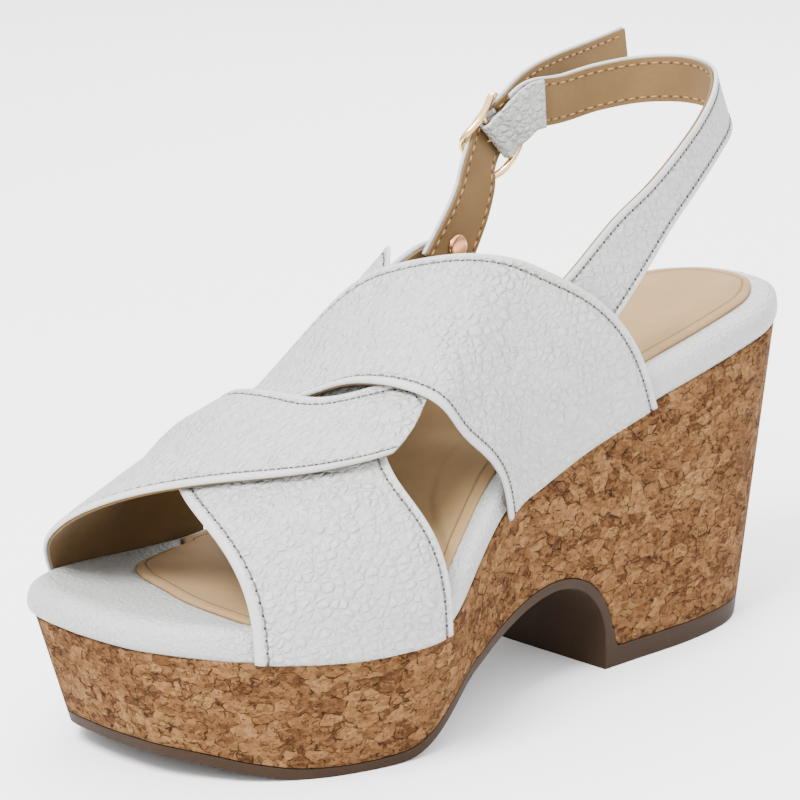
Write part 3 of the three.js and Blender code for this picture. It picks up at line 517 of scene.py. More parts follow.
@dataclass(frozen=True)
class Twist:
    """Sewing thread with a ply that winds round it."""

    colour: Colour

    def material(self, name: str) -> bpy.types.Material:
        """Build the thread."""
        shader = Shader(name, {"Specular IOR Level": 0.35})
        ply = shader.noise(0.22, 2.0, at=shader.stretched((1.0, 2.0, 1.0)))
        tone = shader.blend(ply, tuple(c * 0.75 for c in self.colour), self.colour)
        return shader.finish(tone, 0.6 + 0.1 * ply, shader.bump(ply, 0.08))


class Finishes:
    """All materials of the sandal, each built once."""

    def __init__(self) -> None:
        """Build every finish."""
        self.white = Leather(
            (0.37, 0.385, 0.374), (0.325, 0.336, 0.325), 2.3, 0.8, 0.42, 1.3).material("white_leather")
        self.rim = Leather(
            (0.35, 0.362, 0.352), (0.325, 0.335, 0.322), 1.5, 0.35, 0.42).material("rim_leather")
        self.tan = Nubuck((0.165, 0.1, 0.042), (0.11, 0.063, 0.025), 0.5, 0.7).material("tan_lining")
        self.sock = Nubuck((0.28, 0.18, 0.084), (0.21, 0.128, 0.056), 0.35, 0.68, 3.2).material("sock_suede")
        self.cork = Cork(
            (0.2, 0.106, 0.045), (0.118, 0.056, 0.022), (0.046, 0.019, 0.008), (0.005, 0.003, 0.002), 3.8,
        ).material("cork")
        self.rubber = Moulded((0.026, 0.0135, 0.0065), 0.9, 0.05, 0.5).material("rubber")
        self.core = Moulded((0.26, 0.15, 0.08), 1.4, 0.15, 0.85).material("core_foam")
        self.board = Moulded((0.35, 0.27, 0.17), 0.6, 0.05, 0.85).material("board")
        self.foam = Moulded((0.8, 0.74, 0.62), 0.8, 0.2, 0.9).material("foam")
        self.steel = Metal((0.33, 0.33, 0.34), 0.32).material("steel")
        self.gold = Metal((0.83, 0.57, 0.26), 0.1).material("pale_gold")
        self.copper = Metal((0.66, 0.33, 0.17), 0.2).material("rivet_copper")
        # White-leather thread: partly its own colour, partly painted shade, darkened so the short stitches
        # read as lying in shadow.
        self.thread = Twist((0.1, 0.1, 0.084)).material("thread")
        self.lining_thread = Twist((0.3, 0.17, 0.07)).material("lining_thread")
        # Dark discs at the needle holes, on the lining and on the white leather: painted shade where the
        # holes lie.
        self.lining_hole_shade = Moulded((0.09, 0.045, 0.016), 0.5, 0.02, 0.8).material("lining_needle_hole")
        self.hole_shade = Moulded((0.05, 0.036, 0.028), 0.5, 0.02, 0.8).material("needle_hole")


# ---- The last: outline, height and the form of the foot -----------------------------------
@dataclass
class Last:
    """Plan outline, footbed height and foot form of the sandal, in millimetres."""

    footbed_length: float = 245.0
    toe_y: float = -54.0
    ball_medial: float = 45.5
    ball_lateral: float = 49.0
    waist_medial: float = 30.0
    waist_lateral: float = 33.0
    heel_medial: float = 32.0
    heel_lateral: float = 31.0
    platform_height: float = 33.5
    toe_rise: float = 4.5
    heel_height: float = 86.8
    instep_height: float = 62.0
    lateral_roundness: float = 1.18
    tread_toe: float = 12.0
    tread_heel: float = 11.0
    tread_ball: float = 5.5
    tread_ball_lateral: float = 2.0
    tread_waist: float = 2.5
    tread_side: float = 4.5
    gap: float = 0.3
    band_clearance: float = 1.1
    stations: int = 120

    def __post_init__(self) -> None:
        """Draw the curves that the sizes give."""
        ball, waist, heel = self.ball_medial, self.waist_medial, self.heel_medial
        self.medial = table([
            (-0.004, -14), (0, -10), (0.014, ball * 0.18), (0.067, ball * 0.6), (0.147, ball * 0.86),
            (0.241, ball * 0.99), (0.31, ball), (0.392, mix(waist, ball, 0.48)), (0.473, waist * 1.03),
            (0.571, waist), (0.678, heel), (0.8, heel), (0.906, heel * 0.86), (0.98, heel * 0.45),
            (1, 0), (1.002, -1),
        ])
        ball, waist, heel = -self.ball_lateral, self.waist_lateral, -self.heel_lateral
        self.lateral = table([
            (-0.004, -14), (0, -18), (0.012, ball * 0.69), (0.065, ball * 0.92), (0.159, ball),
            (0.261, ball * 0.98), (0.363, ball * 0.9), (0.465, -mix(waist, -ball, 0.31)),
            (0.563, -waist), (0.678, heel), (0.8, heel), (0.92, heel * 0.87), (0.986, heel * 0.45),
            (1, 0), (1.002, 1),
        ])
        self.rise = table([
            (-0.1, -0.02), (0.2, 0), (0.261, 0.004), (0.31, 0.046), (0.363, 0.174), (0.416, 0.339),
            (0.465, 0.459), (0.506, 0.514), (0.567, 0.615), (0.629, 0.706), (0.69, 0.789),
            (0.751, 0.853), (0.812, 0.908), (0.873, 0.954), (0.935, 0.982), (1.004, 1), (1.1, 1.02),
        ])
        self.toe_lift = table([(-0.1, 1.3), (0, 1), (0.1, 0.45), (0.2, 0), (0.3, 0), (1.1, 0)])
        self.instep = table([
            (-0.024, 0.306), (0.016, 0.387), (0.078, 0.516), (0.159, 0.694), (0.241, 0.815),
            (0.322, 0.911), (0.404, 1), (0.465, 1.056), (0.514, 1.177), (0.567, 1.387),
            (0.616, 1.58), (0.669, 1.71), (0.731, 1.742), (0.792, 1.742),
        ])

    def station(self, y: Array) -> Array:
        """Share of the footbed's length at a place along it."""
        return (y - self.toe_y) / self.footbed_length

    def top(self, s: Array) -> Array:
        """Height of the wedge's top."""
        climb = (self.heel_height - self.platform_height) * self.rise(s)
        return self.platform_height + climb + self.toe_rise * self.toe_lift(s)

    def shares(self) -> Array:
        """Stations along the foot, closer together at the round toe and heel."""
        k = np.arange(self.stations + 1) / self.stations
        return mix(k, (1 - np.cos(np.pi * k)) / 2, 0.7)

    def ring(self, inset: Union[float, Array], tread: float = 0.0) -> Array:
        """Closed ring of x, y, z: toe, medial side, heel, lateral side.

        Args:
            inset: Distance inside the footbed's outline, one number or one for each station.
            tread: 0 for the footbed's outline and 1 for the tread's.

        Returns:
            Two points for each station but the first and last, which have one.
        """
        n = self.stations
        s = self.shares()
        whole = np.concatenate([s, s[-2:0:-1]])
        x = np.concatenate([self.medial(s), self.lateral(s[-2:0:-1])])
        x[0] = (self.medial(0.0) + self.lateral(0.0)) / 2
        x[n] = 0.0
        y = self.toe_y + self.footbed_length * whole
        outline = np.stack([x, y], axis=1)
        along = unit(np.roll(outline, -1, axis=0) - np.roll(outline, 1, axis=0))
        out = np.stack([along[:, 1], -along[:, 0]], axis=1)
        depth = np.broadcast_to(inset, s.shape)
        depth = np.concatenate([depth, depth[-2:0:-1]])
        is_medial = np.arange(2 * n) <= n
        ball = np.where(is_medial, self.tread_ball, self.tread_ball_lateral)
        side = mix(ball, self.tread_waist, smooth(0.3, 0.45, whole))
        side = mix(side, self.tread_side, smooth(0.55, 0.7, whole))
        shift = self.tread_toe * (1 - smooth(0, 0.35, whole)) - self.tread_heel * smooth(0.7, 1, whole)
        level_y = y - out[:, 1] * depth
        ring_x = x - out[:, 0] * (depth + tread * side)
        return np.stack([ring_x, level_y + tread * shift, self.top(self.station(level_y))], axis=1)

    def form(self, y: Array, degrees: Array, lift: Array) -> Array:
        """Points on the foot's form.

        Args:
            y: Place along the shoe.
            degrees: Angle from the medial side over the instep to the lateral side.
            lift: Height off the form.

        Returns:
            Points with a last axis of x, y, z.
        """
        s = self.station(y)
        reach = self.band_clearance + lift
        medial, lateral = self.medial(s) + reach, self.lateral(s) - reach
        turn = np.radians(degrees)
        c, up = np.cos(turn), np.maximum(np.sin(turn), 0)
        lateral_share = smooth(85, 135, degrees) * (1 - smooth(0.45, 0.58, s))
        power = mix(0.85, self.lateral_roundness, lateral_share)
        h = up**power
        x = (medial + lateral) / 2 + (medial - lateral) / 2 * np.sign(c) * np.abs(c) ** power
        z = self.top(s) + self.gap + (self.instep_height * self.instep(s) + lift) * h
        return np.stack([x, np.broadcast_to(y, x.shape), z], axis=-1)


# ---- Sewing -------------------------------------------------------------------------------
@dataclass
class Sewing:
    """Lockstitch rows: sunk thread between needle holes, which are dark discs of painted shade."""

    finishes: Finishes
    pitch: float = 3.2
    radius: float = 0.27
    inset: float = 2.7
    sides: int = 6

    def row(self, path: Array, out: Array) -> tuple[list[Array], list[Array]]:
        """Stitches along one path.

        Args:
            path: Closely spaced points on the leather's surface.
            out: Direction away from the leather at each point.

        Returns:
            The rings of each stitch, and the rings of the dark discs painted as shade at the needle holes.
        """
        length = arc_length(path)
        count = max(2, int(length[-1] / self.pitch))
        stitches, holes = [], []
        turn = np.linspace(0, 2 * np.pi, self.sides, endpoint=False)
        for k in range(count):
            start = (k + 0.13) / count * length[-1]
            end = (k + 0.87) / count * length[-1]
            at = np.linspace(start, end, 5)
            centre = np.stack([np.interp(at, length, path[:, a]) for a in range(3)], axis=1)
            up = unit(np.stack([np.interp(at, length, out[:, a]) for a in range(3)], axis=1))
            along = unit(np.gradient(centre, axis=0))
            side = unit(np.cross(along, up))
            rise = np.array([-0.3, 0.06, 0.14, 0.06, -0.3])[:, None]
            thick = self.radius * np.array([0.7, 1, 1.06, 1, 0.7])[:, None, None]
            ring = np.cos(turn)[None, :, None] * side[:, None] + np.sin(turn)[None, :, None] * up[:, None]
            stitches.append((centre + rise * up)[:, None] + thick * ring)
            # Dark disc on the leather's surface just behind the stitch: painted shade of the needle holes.
            middle = mix(path_at(path, length, start), path_at(path, length, start - 0.26 * self.pitch), 0.5)
            flat = np.cos(turn)[:, None] * along[0] + np.sin(turn)[:, None] * side[0]
            holes.append(np.stack([
                middle + up[0] * h + flat * r for r, h in ((0.52, -0.3), (0.47, 0.15), (0.02, 0.12))]))
        return stitches, holes

    def sew(
        self, name: str, rows: Sequence[tuple[Array, Array]], carrier: Carrier, inside: bool = False,
    ) -> bpy.types.Object:
        """Sew rows of stitches as one piece.

        Args:
            name: Piece name.
            rows: A path and its outward directions for each row.
            carrier: What carries the stitches.
            inside: Whether the rows run on the lining.

        Returns:
            The stitches.
        """
        points: list[Array] = []
        faces: list[tuple[int, ...]] = []
        kinds: list[int] = []
        for path, out in rows:
            for kind, bodies in enumerate(self.row(path, out)):
                for rings in bodies:
                    first = sum(len(p) for p in points)
                    points.append(rings.reshape(-1, 3))
                    new = tube_faces(len(rings), self.sides, first)
                    faces += new
                    kinds += [kind] * len(new)
        # The needle-hole discs, and the darkened white-leather thread, carry painted shade.
        materials = [
            self.finishes.lining_thread if inside else self.finishes.thread,
            self.finishes.lining_hole_shade if inside else self.finishes.hole_shade,
        ]
        piece = make_mesh(name, np.concatenate(points), faces, materials, kinds)
        return place(piece, carrier, Slot.WHITE)


def path_at(path: Array, length: Array, where: float) -> Array:
    """Point at a running length along a path."""
    return np.array([np.interp(where, length, path[:, a]) for a in range(3)])


def tube_faces(rings: int, sides: int, first: int = 0) -> list[tuple[int, ...]]:
    """Faces of a tube of rings with flat ends."""
    faces = []
    for r in range(rings - 1):
        for k in range(sides):
            a, b = first + r * sides + k, first + r * sides + (k + 1) % sides
            faces.append((a, b, b + sides, a + sides))
    faces.append(tuple(first + k for k in range(sides))[::-1])
    faces.append(tuple(first + (rings - 1) * sides + k for k in range(sides)))
    return faces


# ---- Leather plies ------------------------------------------------------------------------
@dataclass
class Ply:
    """Leather with turned edges, and a lining set back under it."""

    leather_low: float = 0.85
    leather_high: float = 2.2
    lining_high: float = 0.7
    lining_setback: float = 1.1
    stitch_inset: float = 2.7
    groove: float = 0.4
    swell: float = 0.2
    groove_width: float = 0.75
    swell_inset: float = 1.2
    swell_width: float = 0.75

    def distances(self, width: float, inner: int) -> Array:
        """Distances from the first edge, close together at both edges."""
        near = np.array([0, 0.04, 0.13, 0.28, 0.5, 0.8, 1.3, 1.8, 2.2, 2.5, 2.7, 2.9, 3.2, 3.8])
        near = near * min(1.0, width / 2 / 5.0)
        middle = np.linspace(near[-1], width - near[-1], inner + 2)[1:-1]
        return np.concatenate([near, middle, width - near[::-1]])

    def heights(self, distance: Array, width: Array) -> tuple[Array, Array]:
        """Outer and inner height of the leather at distances from the first edge."""
        edge = np.minimum(distance, width - distance)
        radius = (self.leather_high - self.leather_low) / 2
        bulge = radius * np.sqrt(np.maximum(1 - (1 - np.minimum(edge / radius, 1)) ** 2, 0))
        middle = (self.leather_high + self.leather_low) / 2
        sunk = self.groove * bell(edge, self.stitch_inset, self.groove_width)
        dress = self.swell * bell(edge, self.swell_inset, self.swell_width) - sunk
        return middle + bulge + dress * smooth(0.0, 0.6, edge), middle - bulge


Surface = Callable[[Array, Array, Array], Array]


class FairSurface:
    """A surface of (share along, share across, height) with its waves along the panel ironed out."""

    def __init__(self, raw: Surface, passes: int, rows: int = 160, columns: int = 41) -> None:
        """Sample the raw surface at heights 0 and 1 and fair both along the panel."""
        self.rows, self.columns = rows, columns
        across = np.linspace(0, 1, columns)
        self.levels = []
        for height in (0.0, 1.0):
            grid = np.array([
                raw(np.full(columns, u), across, np.full(columns, height)) for u in np.linspace(0, 1, rows)])
            for _ in range(passes):
                grid[1:-1] = (grid[:-2] + 2 * grid[1:-1] + grid[2:]) / 4
            self.levels.append(grid)

    def __call__(self, u: Array, across: Array, height: Array) -> Array:
        """Points at shares along and across, at heights off the surface."""
        row = np.clip(u, 0, 1) * (self.rows - 1)
        column = np.clip(across, 0, 1) * (self.columns - 1)
        r = np.minimum(row.astype(int), self.rows - 2)
        c = np.minimum(column.astype(int), self.columns - 2)
        v, w = (row - r)[:, None], (column - c)[:, None]
        low, high = (
            mix(mix(g[r, c], g[r + 1, c], v), mix(g[r, c + 1], g[r + 1, c + 1], v), w) for g in self.levels)
        return low + unit(high - low) * height[:, None]


@dataclass
class Panel:
    """A lined leather panel on a surface of (share along, share across, height)."""

    name: str
    surface: Surface
    nodes: tuple[str, ...]
    lining_nodes: tuple[str, ...]
    carrier: Carrier
    ply: Ply = field(default_factory=Ply)
    rows: int = 150
    inner: int = 16
    lining_end: float = 1.0
    lining_low: float = 0.02
    lining_seams: bool = False

    def grid(
        self, setback: float, heights: Callable[[Array, Array], Array], end: float = 1.0,
    ) -> tuple[Array, Array]:
        """Grid of points at heights given by the distance from the edge, and those distances."""
        rows, edges = [], []
        for u in np.linspace(0, end, self.rows):
            probe = self.surface(np.full(9, u), np.linspace(0, 1, 9), np.ones(9))
            width = arc_length(probe)[-1]
            distance = self.ply.distances(width - 2 * setback, self.inner) + setback
            height = heights(distance, np.full(distance.shape, width))
            rows.append(self.surface(np.full(distance.shape, u), distance / width, height))
            edges.append(np.minimum(distance, width - distance))
        return np.array(rows), np.array(edges)

    def seam(self, far: bool, inside: bool) -> tuple[Array, Array]:
        """Path of a stitch row beside one edge, with its outward directions."""
        path, out = [], []
        end = self.lining_end - 0.02 if inside else 1.0
        for u in np.linspace(0, end, 2 * self.rows):
            probe = self.surface(np.full(9, u), np.linspace(0, 1, 9), np.ones(9))
            width = arc_length(probe)[-1]
            inset = self.ply.stitch_inset * min(1.0, width / 10.0)
            high = float(self.ply.heights(np.array(inset), np.array(width))[0])
            low = self.lining_low + LINING_SINK
            pair_heights = np.array([low, low - 1] if inside else [high, high + 1])
            share = 1 - inset / width if far else inset / width
            pair = self.surface(np.full(2, u), np.full(2, share), pair_heights)
            path.append(pair[0])
            out.append(pair[1] - pair[0])
        return np.array(path), unit(np.array(out))

    def build(self, finishes: Finishes, sewing: Sewing) -> None:
        """Make the leather, its lining and its stitches."""
        outer, edge = self.grid(0, lambda d, w: self.ply.heights(d, w)[0])
        inner, _ = self.grid(0, lambda d, w: self.ply.heights(d, w)[1])
        edges = np.concatenate([edge.ravel(), edge.ravel()])
        leather = make_mesh(self.name, *closed_sheet(outer, inner), [finishes.white], edge=edges)
        place(leather, self.carrier, Slot.WHITE, *self.nodes)
        back = self.ply.lining_setback
        high, _ = self.grid(back, lambda d, w: np.full(d.shape, self.ply.lining_high), self.lining_end)
        low, _ = self.grid(back, lambda d, w: np.full(d.shape, self.lining_low), self.lining_end)
        lining = make_mesh(self.name + "_inside", *closed_sheet(high, low), [finishes.tan])
        place(lining, self.carrier, Slot.TAN, *self.lining_nodes)
        rows = [self.seam(far, False) for far in (False, True)]
        sewing.sew(self.name + "_stitches", rows, self.carrier)
        if self.lining_seams:
            rows = [self.seam(far, True) for far in (False, True)]
            sewing.sew(self.name + "_inside_stitches", rows, self.carrier, inside=True)


# ---- Sole unit ----------------------------------------------------------------------------
@dataclass
class SoleUnit:
    """Cork-wrapped wedge on a moulded rubber outsole."""

    last: Last
    finishes: Finishes
    toe_spring: float = 6.0
    arch_height: float = 28.0
    breast_y: float = 101.5
    outsole_fore: float = 3.0
    outsole_arch: float = 2.8
    heel_lift: float = 6.0
    cork_skin: float = 1.2
    blend_y: float = 76.0
    counts: tuple[int, int, int] = (110, 36, 70)

    def tread_line(self) -> Array:
        """Underside of the sandal from toe to breast, as y, z knots."""
        arch = self.arch_height
        return np.array([
            (-70, self.toe_spring * 1.9), (-41, self.toe_spring), (-28, self.toe_spring * 0.4),
            (-15, 0), (8, 0), (18, arch * 0.09), (27, arch * 0.3), (33, arch * 0.44),
            (40, arch * 0.57), (48, arch * 0.67), (60, arch * 0.8), (70, arch * 0.93), (79, arch),
            (86, arch * 0.98), (91.5, arch * 0.9), (96, arch * 0.76), (99.2, arch * 0.58),
            (100.8, arch * 0.4),
        ])

    def line(self, lift: float, raised: bool) -> Array:
        """Underside or, raised by the outsole's thickness, its upper face, down to the heel."""
        t = np.linspace(0, 1, 260)
        curve = spline(self.tread_line(), t)
        along = unit(np.gradient(curve, axis=0))
        if not raised:
            return np.vstack([curve, (self.breast_y, self.arch_height * 0.1), (self.breast_y, 0)])
        thick = lift + mix(self.outsole_fore, self.outsole_arch, smooth(15, 45, curve[:, 0]))
        over = curve + np.stack([-along[:, 1] * thick, along[:, 0] * thick], axis=1)
        over = over[np.concatenate([[True], np.diff(np.maximum.accumulate(over[:, 0])) > 0])]
        breast = self.breast_y + self.outsole_arch + lift
        over = over[over[:, 0] < breast - 0.3]
        top = self.heel_lift + lift
        return np.vstack([over, (breast, top + 6), (breast + 0.6, top + 2), (breast + 2, top)])

    def columns(self, line: Array, medial: bool) -> tuple[Array, Array, Array]:
        """Where a line meets one side wall.

        Args:
            line: Knots of y, z from toe to breast.
            medial: True for the medial wall.

        Returns:
            Ring place and wall share of each column's foot, and ring place of its top.
        """
        low, high = self.half_rings(medial)
        last = len(low) - 1
        idx = np.arange(last + 1)
        end = line[-1]

        def level(z: float) -> Array:
            """Place along the shoe of each ring point at one height."""
            return mix(low[:, 1], high[:, 1], z / high[:, 2])

        first = line[: np.argmax(line[:, 0] > self.blend_y + 1)]
        t = np.full(last + 1, 0.05)
        for _ in range(6):
            y = mix(low[:, 1], high[:, 1], t)
            t = np.interp(y, first[:, 0], first[:, 1]) / high[:, 2]
        y = mix(low[:, 1], high[:, 1], t)
        start = np.interp(self.blend_y, y, idx)
        fore = np.linspace(0, start, self.counts[0])
        curve = np.vstack([[(self.blend_y, np.interp(self.blend_y, line[:-4, 0], line[:-4, 1]))],
                           line[line[:, 0] > self.blend_y + 0.3]])
        run = arc_length(curve)
        at = np.linspace(0, run[-1], self.counts[1] + 1)[1:]
        bend = np.stack([np.interp(at, run, curve[:, a]) for a in (0, 1)], axis=1)
        bend_foot = np.array([np.interp(p[0], level(p[1]), idx) for p in bend])
        stop = np.interp(end[0], level(end[1]), idx)
        bend_top = np.linspace(start, stop, self.counts[1] + 1)[1:]
        bend_t = bend[:, 1] / np.interp(bend_foot, idx, high[:, 2])
        heel = np.linspace(stop, last, self.counts[2] + 1)[1:]
        heel_t = end[1] / np.interp(heel, idx, high[:, 2])
        foot = np.concatenate([fore, bend_foot, heel])
        share = np.concatenate([np.interp(fore, idx, t), bend_t, heel_t])
        return foot, share, np.concatenate([fore, bend_top, heel])

    def half_rings(self, medial: bool) -> tuple[Array, Array]:
        """Ground and top ring of one side, from toe to heel."""
        n = self.last.stations
        low, high = self.last.ring(0, 1), self.last.ring(0)
        order = np.arange(n + 1) if medial else np.concatenate([[0], np.arange(2 * n - 1, n - 1, -1)])
        return low[order], high[order]

    def wall(self, place_on: Array, share: Array, medial: bool) -> Array:
        """Points of a side wall at ring places and shares of its height."""
        low, high = self.half_rings(medial)
        idx = np.arange(len(low))
        ground = np.stack([np.interp(place_on, idx, low[:, a]) for a in (0, 1)], axis=-1)
        top = np.stack([np.interp(place_on, idx, high[:, a]) for a in (0, 1, 2)], axis=-1)
        plan = mix(ground, top[..., :2], share[..., None])
        return np.concatenate([plan, (top[..., 2] * share)[..., None]], axis=-1)

    def build_cork(self) -> bpy.types.Object:
        """Cork skin from the outsole to the footbed, all round."""
        points, faces = [], []
        rows = np.linspace(0, 1, 30)[:, None]
        for medial in (True, False):
            foot, share, top = self.columns(self.line(self.last.gap, True), medial)
            grid = self.wall(mix(foot, top, rows), mix(share, np.ones_like(share), rows), medial)
            faces += grid_faces(*grid.shape[:2], sum(len(p) for p in points), medial)
            points.append(grid.reshape(-1, 3))
        piece = make_mesh("cork_skin", np.concatenate(points), faces, [self.finishes.cork])
        add_solidify(piece, self.cork_skin)
        return place(piece, Body.SOLE, Slot.CORK, "cork_wrap")

    def build_outsole(self) -> bpy.types.Object:
        """Closed rubber outsole with a rounded lower edge."""
        sides = []
        for medial in (True, False):
            under = self.columns(self.line(0, False), medial)
            over = self.columns(self.line(0, True), medial)
            rows = np.linspace(0, 1, 5)[:, None]
            grid = self.wall(mix(under[0], over[0], rows), mix(under[1], over[1], rows), medial)
            sides.append(grid)
        across = np.linspace(0, 1, 14)[:, None, None]
        bottom = mix(sides[1][0][None], sides[0][0][None], across)
        top = mix(sides[1][-1][None], sides[0][-1][None], across)
        points, faces = [], []
        for grid, flip in ((sides[0], False), (sides[1], True), (bottom, True), (top, False)):
            faces += grid_faces(*grid.shape[:2], sum(len(p) for p in points), flip)
            points.append(grid.reshape(-1, 3))
        piece = make_mesh("outsole_tread", np.concatenate(points), faces, [self.finishes.rubber])
        bevel = piece.modifiers.new("edge", "BEVEL")
        bevel.width = 0.5 * MM
        bevel.segments = 3
        bevel.angle_limit = math.radians(50)
        return place(piece, Body.SOLE, Slot.RUBBER, "outsole")

    def dress_hidden(self) -> None:
        """Finish the pieces that lie inside the sole."""
        looks = {
            "wedge_core": self.finishes.core, "shank": self.finishes.steel,
            "shank_rivet_front": self.finishes.steel, "shank_rivet_rear": self.finishes.steel,
            "insole_board": self.finishes.board, "footbed_foam": self.finishes.foam,
        }
        for node, look in looks.items():
            dress(node, look)

    def build(self) -> None:
        """Make the sole unit."""
        self.build_cork()
        self.build_outsole()
        self.dress_hidden()


def dress(node: str, look: bpy.types.Material) -> None:
    """Put a finish on a frame node."""
    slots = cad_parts[node].material_slots
    for slot in slots:
        slot.material = look


# ---- Footbed ------------------------------------------------------------------------------
@dataclass
class Footbed:
    """Leather-covered footbed with a nubuck sock."""

    last: Last
    finishes: Finishes
    rim_height: float = 8.6
    rim_bulge: float = 1.8
    side_tuck: float = 0.2
    cover_wall: float = 1.2
    crown: float = 0.25
    sock_thickness: float = 1.0
    sock_inset: float = 5.0
    sock_inset_heel: float = 7.0
    front_edge: tuple[tuple[float, float], ...] = (
        (-70, 14), (-41, 6), (-38, -3), (-33, -17), (-26, -22.5), (-18.5, -25), (-10.7, -27),
        (1, -30), (12.5, -31), (28, -31), (45, -29), (70, -26),
    )

    pad_edge: tuple[tuple[float, float], ...] = (
        (28, 45), (32.5, 33.5), (37, 26.5), (40, 21), (44, 16), (51.5, 11), (60, 7.5), (70, 4.2), (84, 2.5),
        (98, 5), (110, 12))

    def build_cover(self) -> bpy.types.Object:
        """Padded leather rim that rolls over onto the top of the footbed."""
        s = self.last.shares()
        bulge = self.rim_bulge * (1 - smooth(0.01, 0.07, s)) + 0.6 * smooth(0.78, 0.95, s)
        knots = np.array([
            (0.7, 0, 0.1), (0.1, 0.9, 1.8), (0, 1, self.rim_height * 0.5), (0.5, 0.7, self.rim_height * 0.82),
            (2.4, 0.2, self.rim_height), (5.0, 0, self.rim_height + self.crown), (8.0, 0, self.rim_height),
        ])
        rings = []
        for depth, share, lift in spline(knots, np.linspace(0, 1, 34)):
            ring = self.last.ring(depth - self.side_tuck - bulge * share)
            ring[:, 2] += lift
            rings.append(np.vstack([ring, ring[:1]]))
        wall = np.array(rings)
        n = self.last.stations
        inner = wall[-1][:-1]
        medial = inner[: n + 1]
        lateral = inner[np.concatenate([[0], np.arange(2 * n - 1, n - 1, -1)])]
        across = np.linspace(0, 1, 24)[:, None, None]
        floor = mix(lateral[None], medial[None], across)
        points = np.concatenate([wall.reshape(-1, 3), floor.reshape(-1, 3)])
        faces = grid_faces(*wall.shape[:2]) + grid_faces(*floor.shape[:2], wall.shape[0] * wall.shape[1])
        piece = make_mesh("footbed_rim", points, faces, [self.finishes.rim])
        add_solidify(piece, self.cover_wall)
        return place(piece, Body.SOLE, Slot.WHITE, "footbed_cover")

    def side_tables(self) -> tuple[Array, Array]:
        """Medial and lateral edge of the sock as x against y, from toe to heel."""
        s = self.last.shares()
        inset = mix(self.sock_inset, self.sock_inset_heel, smooth(0.55, 0.75, s))
        ring = self.last.ring(inset)
        n = self.last.stations
        medial = ring[: n + 1]
        lateral = ring[np.concatenate([[0], np.arange(2 * n - 1, n - 1, -1)])]
        return medial[:, :2], lateral[:, :2]

    def build_sock(self) -> bpy.types.Object:
        """Sock with a set-back front edge, a moulded arch pad and a pressed margin line."""
        medial, lateral = self.side_tables()
        front = table(self.front_edge)
        rear = medial[-1, 1]
        rows, columns = 260, 90
        across = mix(np.linspace(0, 1, columns), (1 - np.cos(np.pi * np.linspace(0, 1, columns))) / 2, 0.5)

        def x_at(y: Array, share: Array) -> Array:
            """Place across the sock."""
            left = np.interp(y, lateral[:, 1], lateral[:, 0])
            right = np.interp(y, medial[:, 1], medial[:, 0])
            return mix(left, right, share)

        low, high = np.full(columns, -45.0), np.full(columns, 40.0)
        for _ in range(40):
            middle = (low + high) / 2
            behind = middle > front(x_at(middle, across))
            high, low = np.where(behind, middle, high), np.where(behind, low, middle)
        run = np.linspace(0, 1, rows)
        run = mix(run, np.sin(run * np.pi / 2), 0.35)[:, None]
        y = mix(high[None], rear - 1e-3, run)
        x = x_at(y, across[None])
        side = np.minimum(x_at(y, np.ones_like(x)) - x, x - x_at(y, np.zeros_like(x)))
        ahead = (y - front(x)) * 0.95
        tail = np.maximum(rear - y, 0)
        rear_edge = np.where(y > rear - 32, 25 - np.hypot(x, y - (rear - 25)), 99)
        edge = np.minimum(np.minimum(np.maximum(side, 0), np.maximum(ahead, 0)), np.minimum(tail + 0.0, 99))
        edge = np.where(y > rear - 25, np.clip(np.minimum(edge, np.maximum(rear_edge, 0)), 0, None), edge)
        pad_edge = np.interp(y, *np.array(self.pad_edge).T)
        pad = smooth(-0.4, 1.3, x - pad_edge) * (1 - smooth(88, 112, y))
        toes = 0.8 * bell(np.hypot((x + 4) / 1.6, y - 2), 0, 14)
        roll = 0.45 * (1 - smooth(0, 0.7, edge))
        base = self.last.top(self.last.station(y)) + self.rim_height + self.crown + 0.1
        top = base + self.sock_thickness + 0.85 * pad * smooth(0, 4, edge) \
            - toes * smooth(2, 8, edge) * 0.5 - roll
        upper, lower = np.stack([x, y, top], axis=-1), np.stack([x, y, base - 0.3], axis=-1)
        points, faces = closed_sheet(upper, lower)
        edges = np.concatenate([edge.ravel(), np.zeros(edge.size)])
        piece = make_mesh("sock", points, faces, [self.finishes.sock], edge=edges)
        return place(piece, Body.SOLE, Slot.SOCK, "sock_lining")

    def build(self) -> None:
        """Make the footbed's visible pieces."""
        self.build_cover()
        self.build_sock()


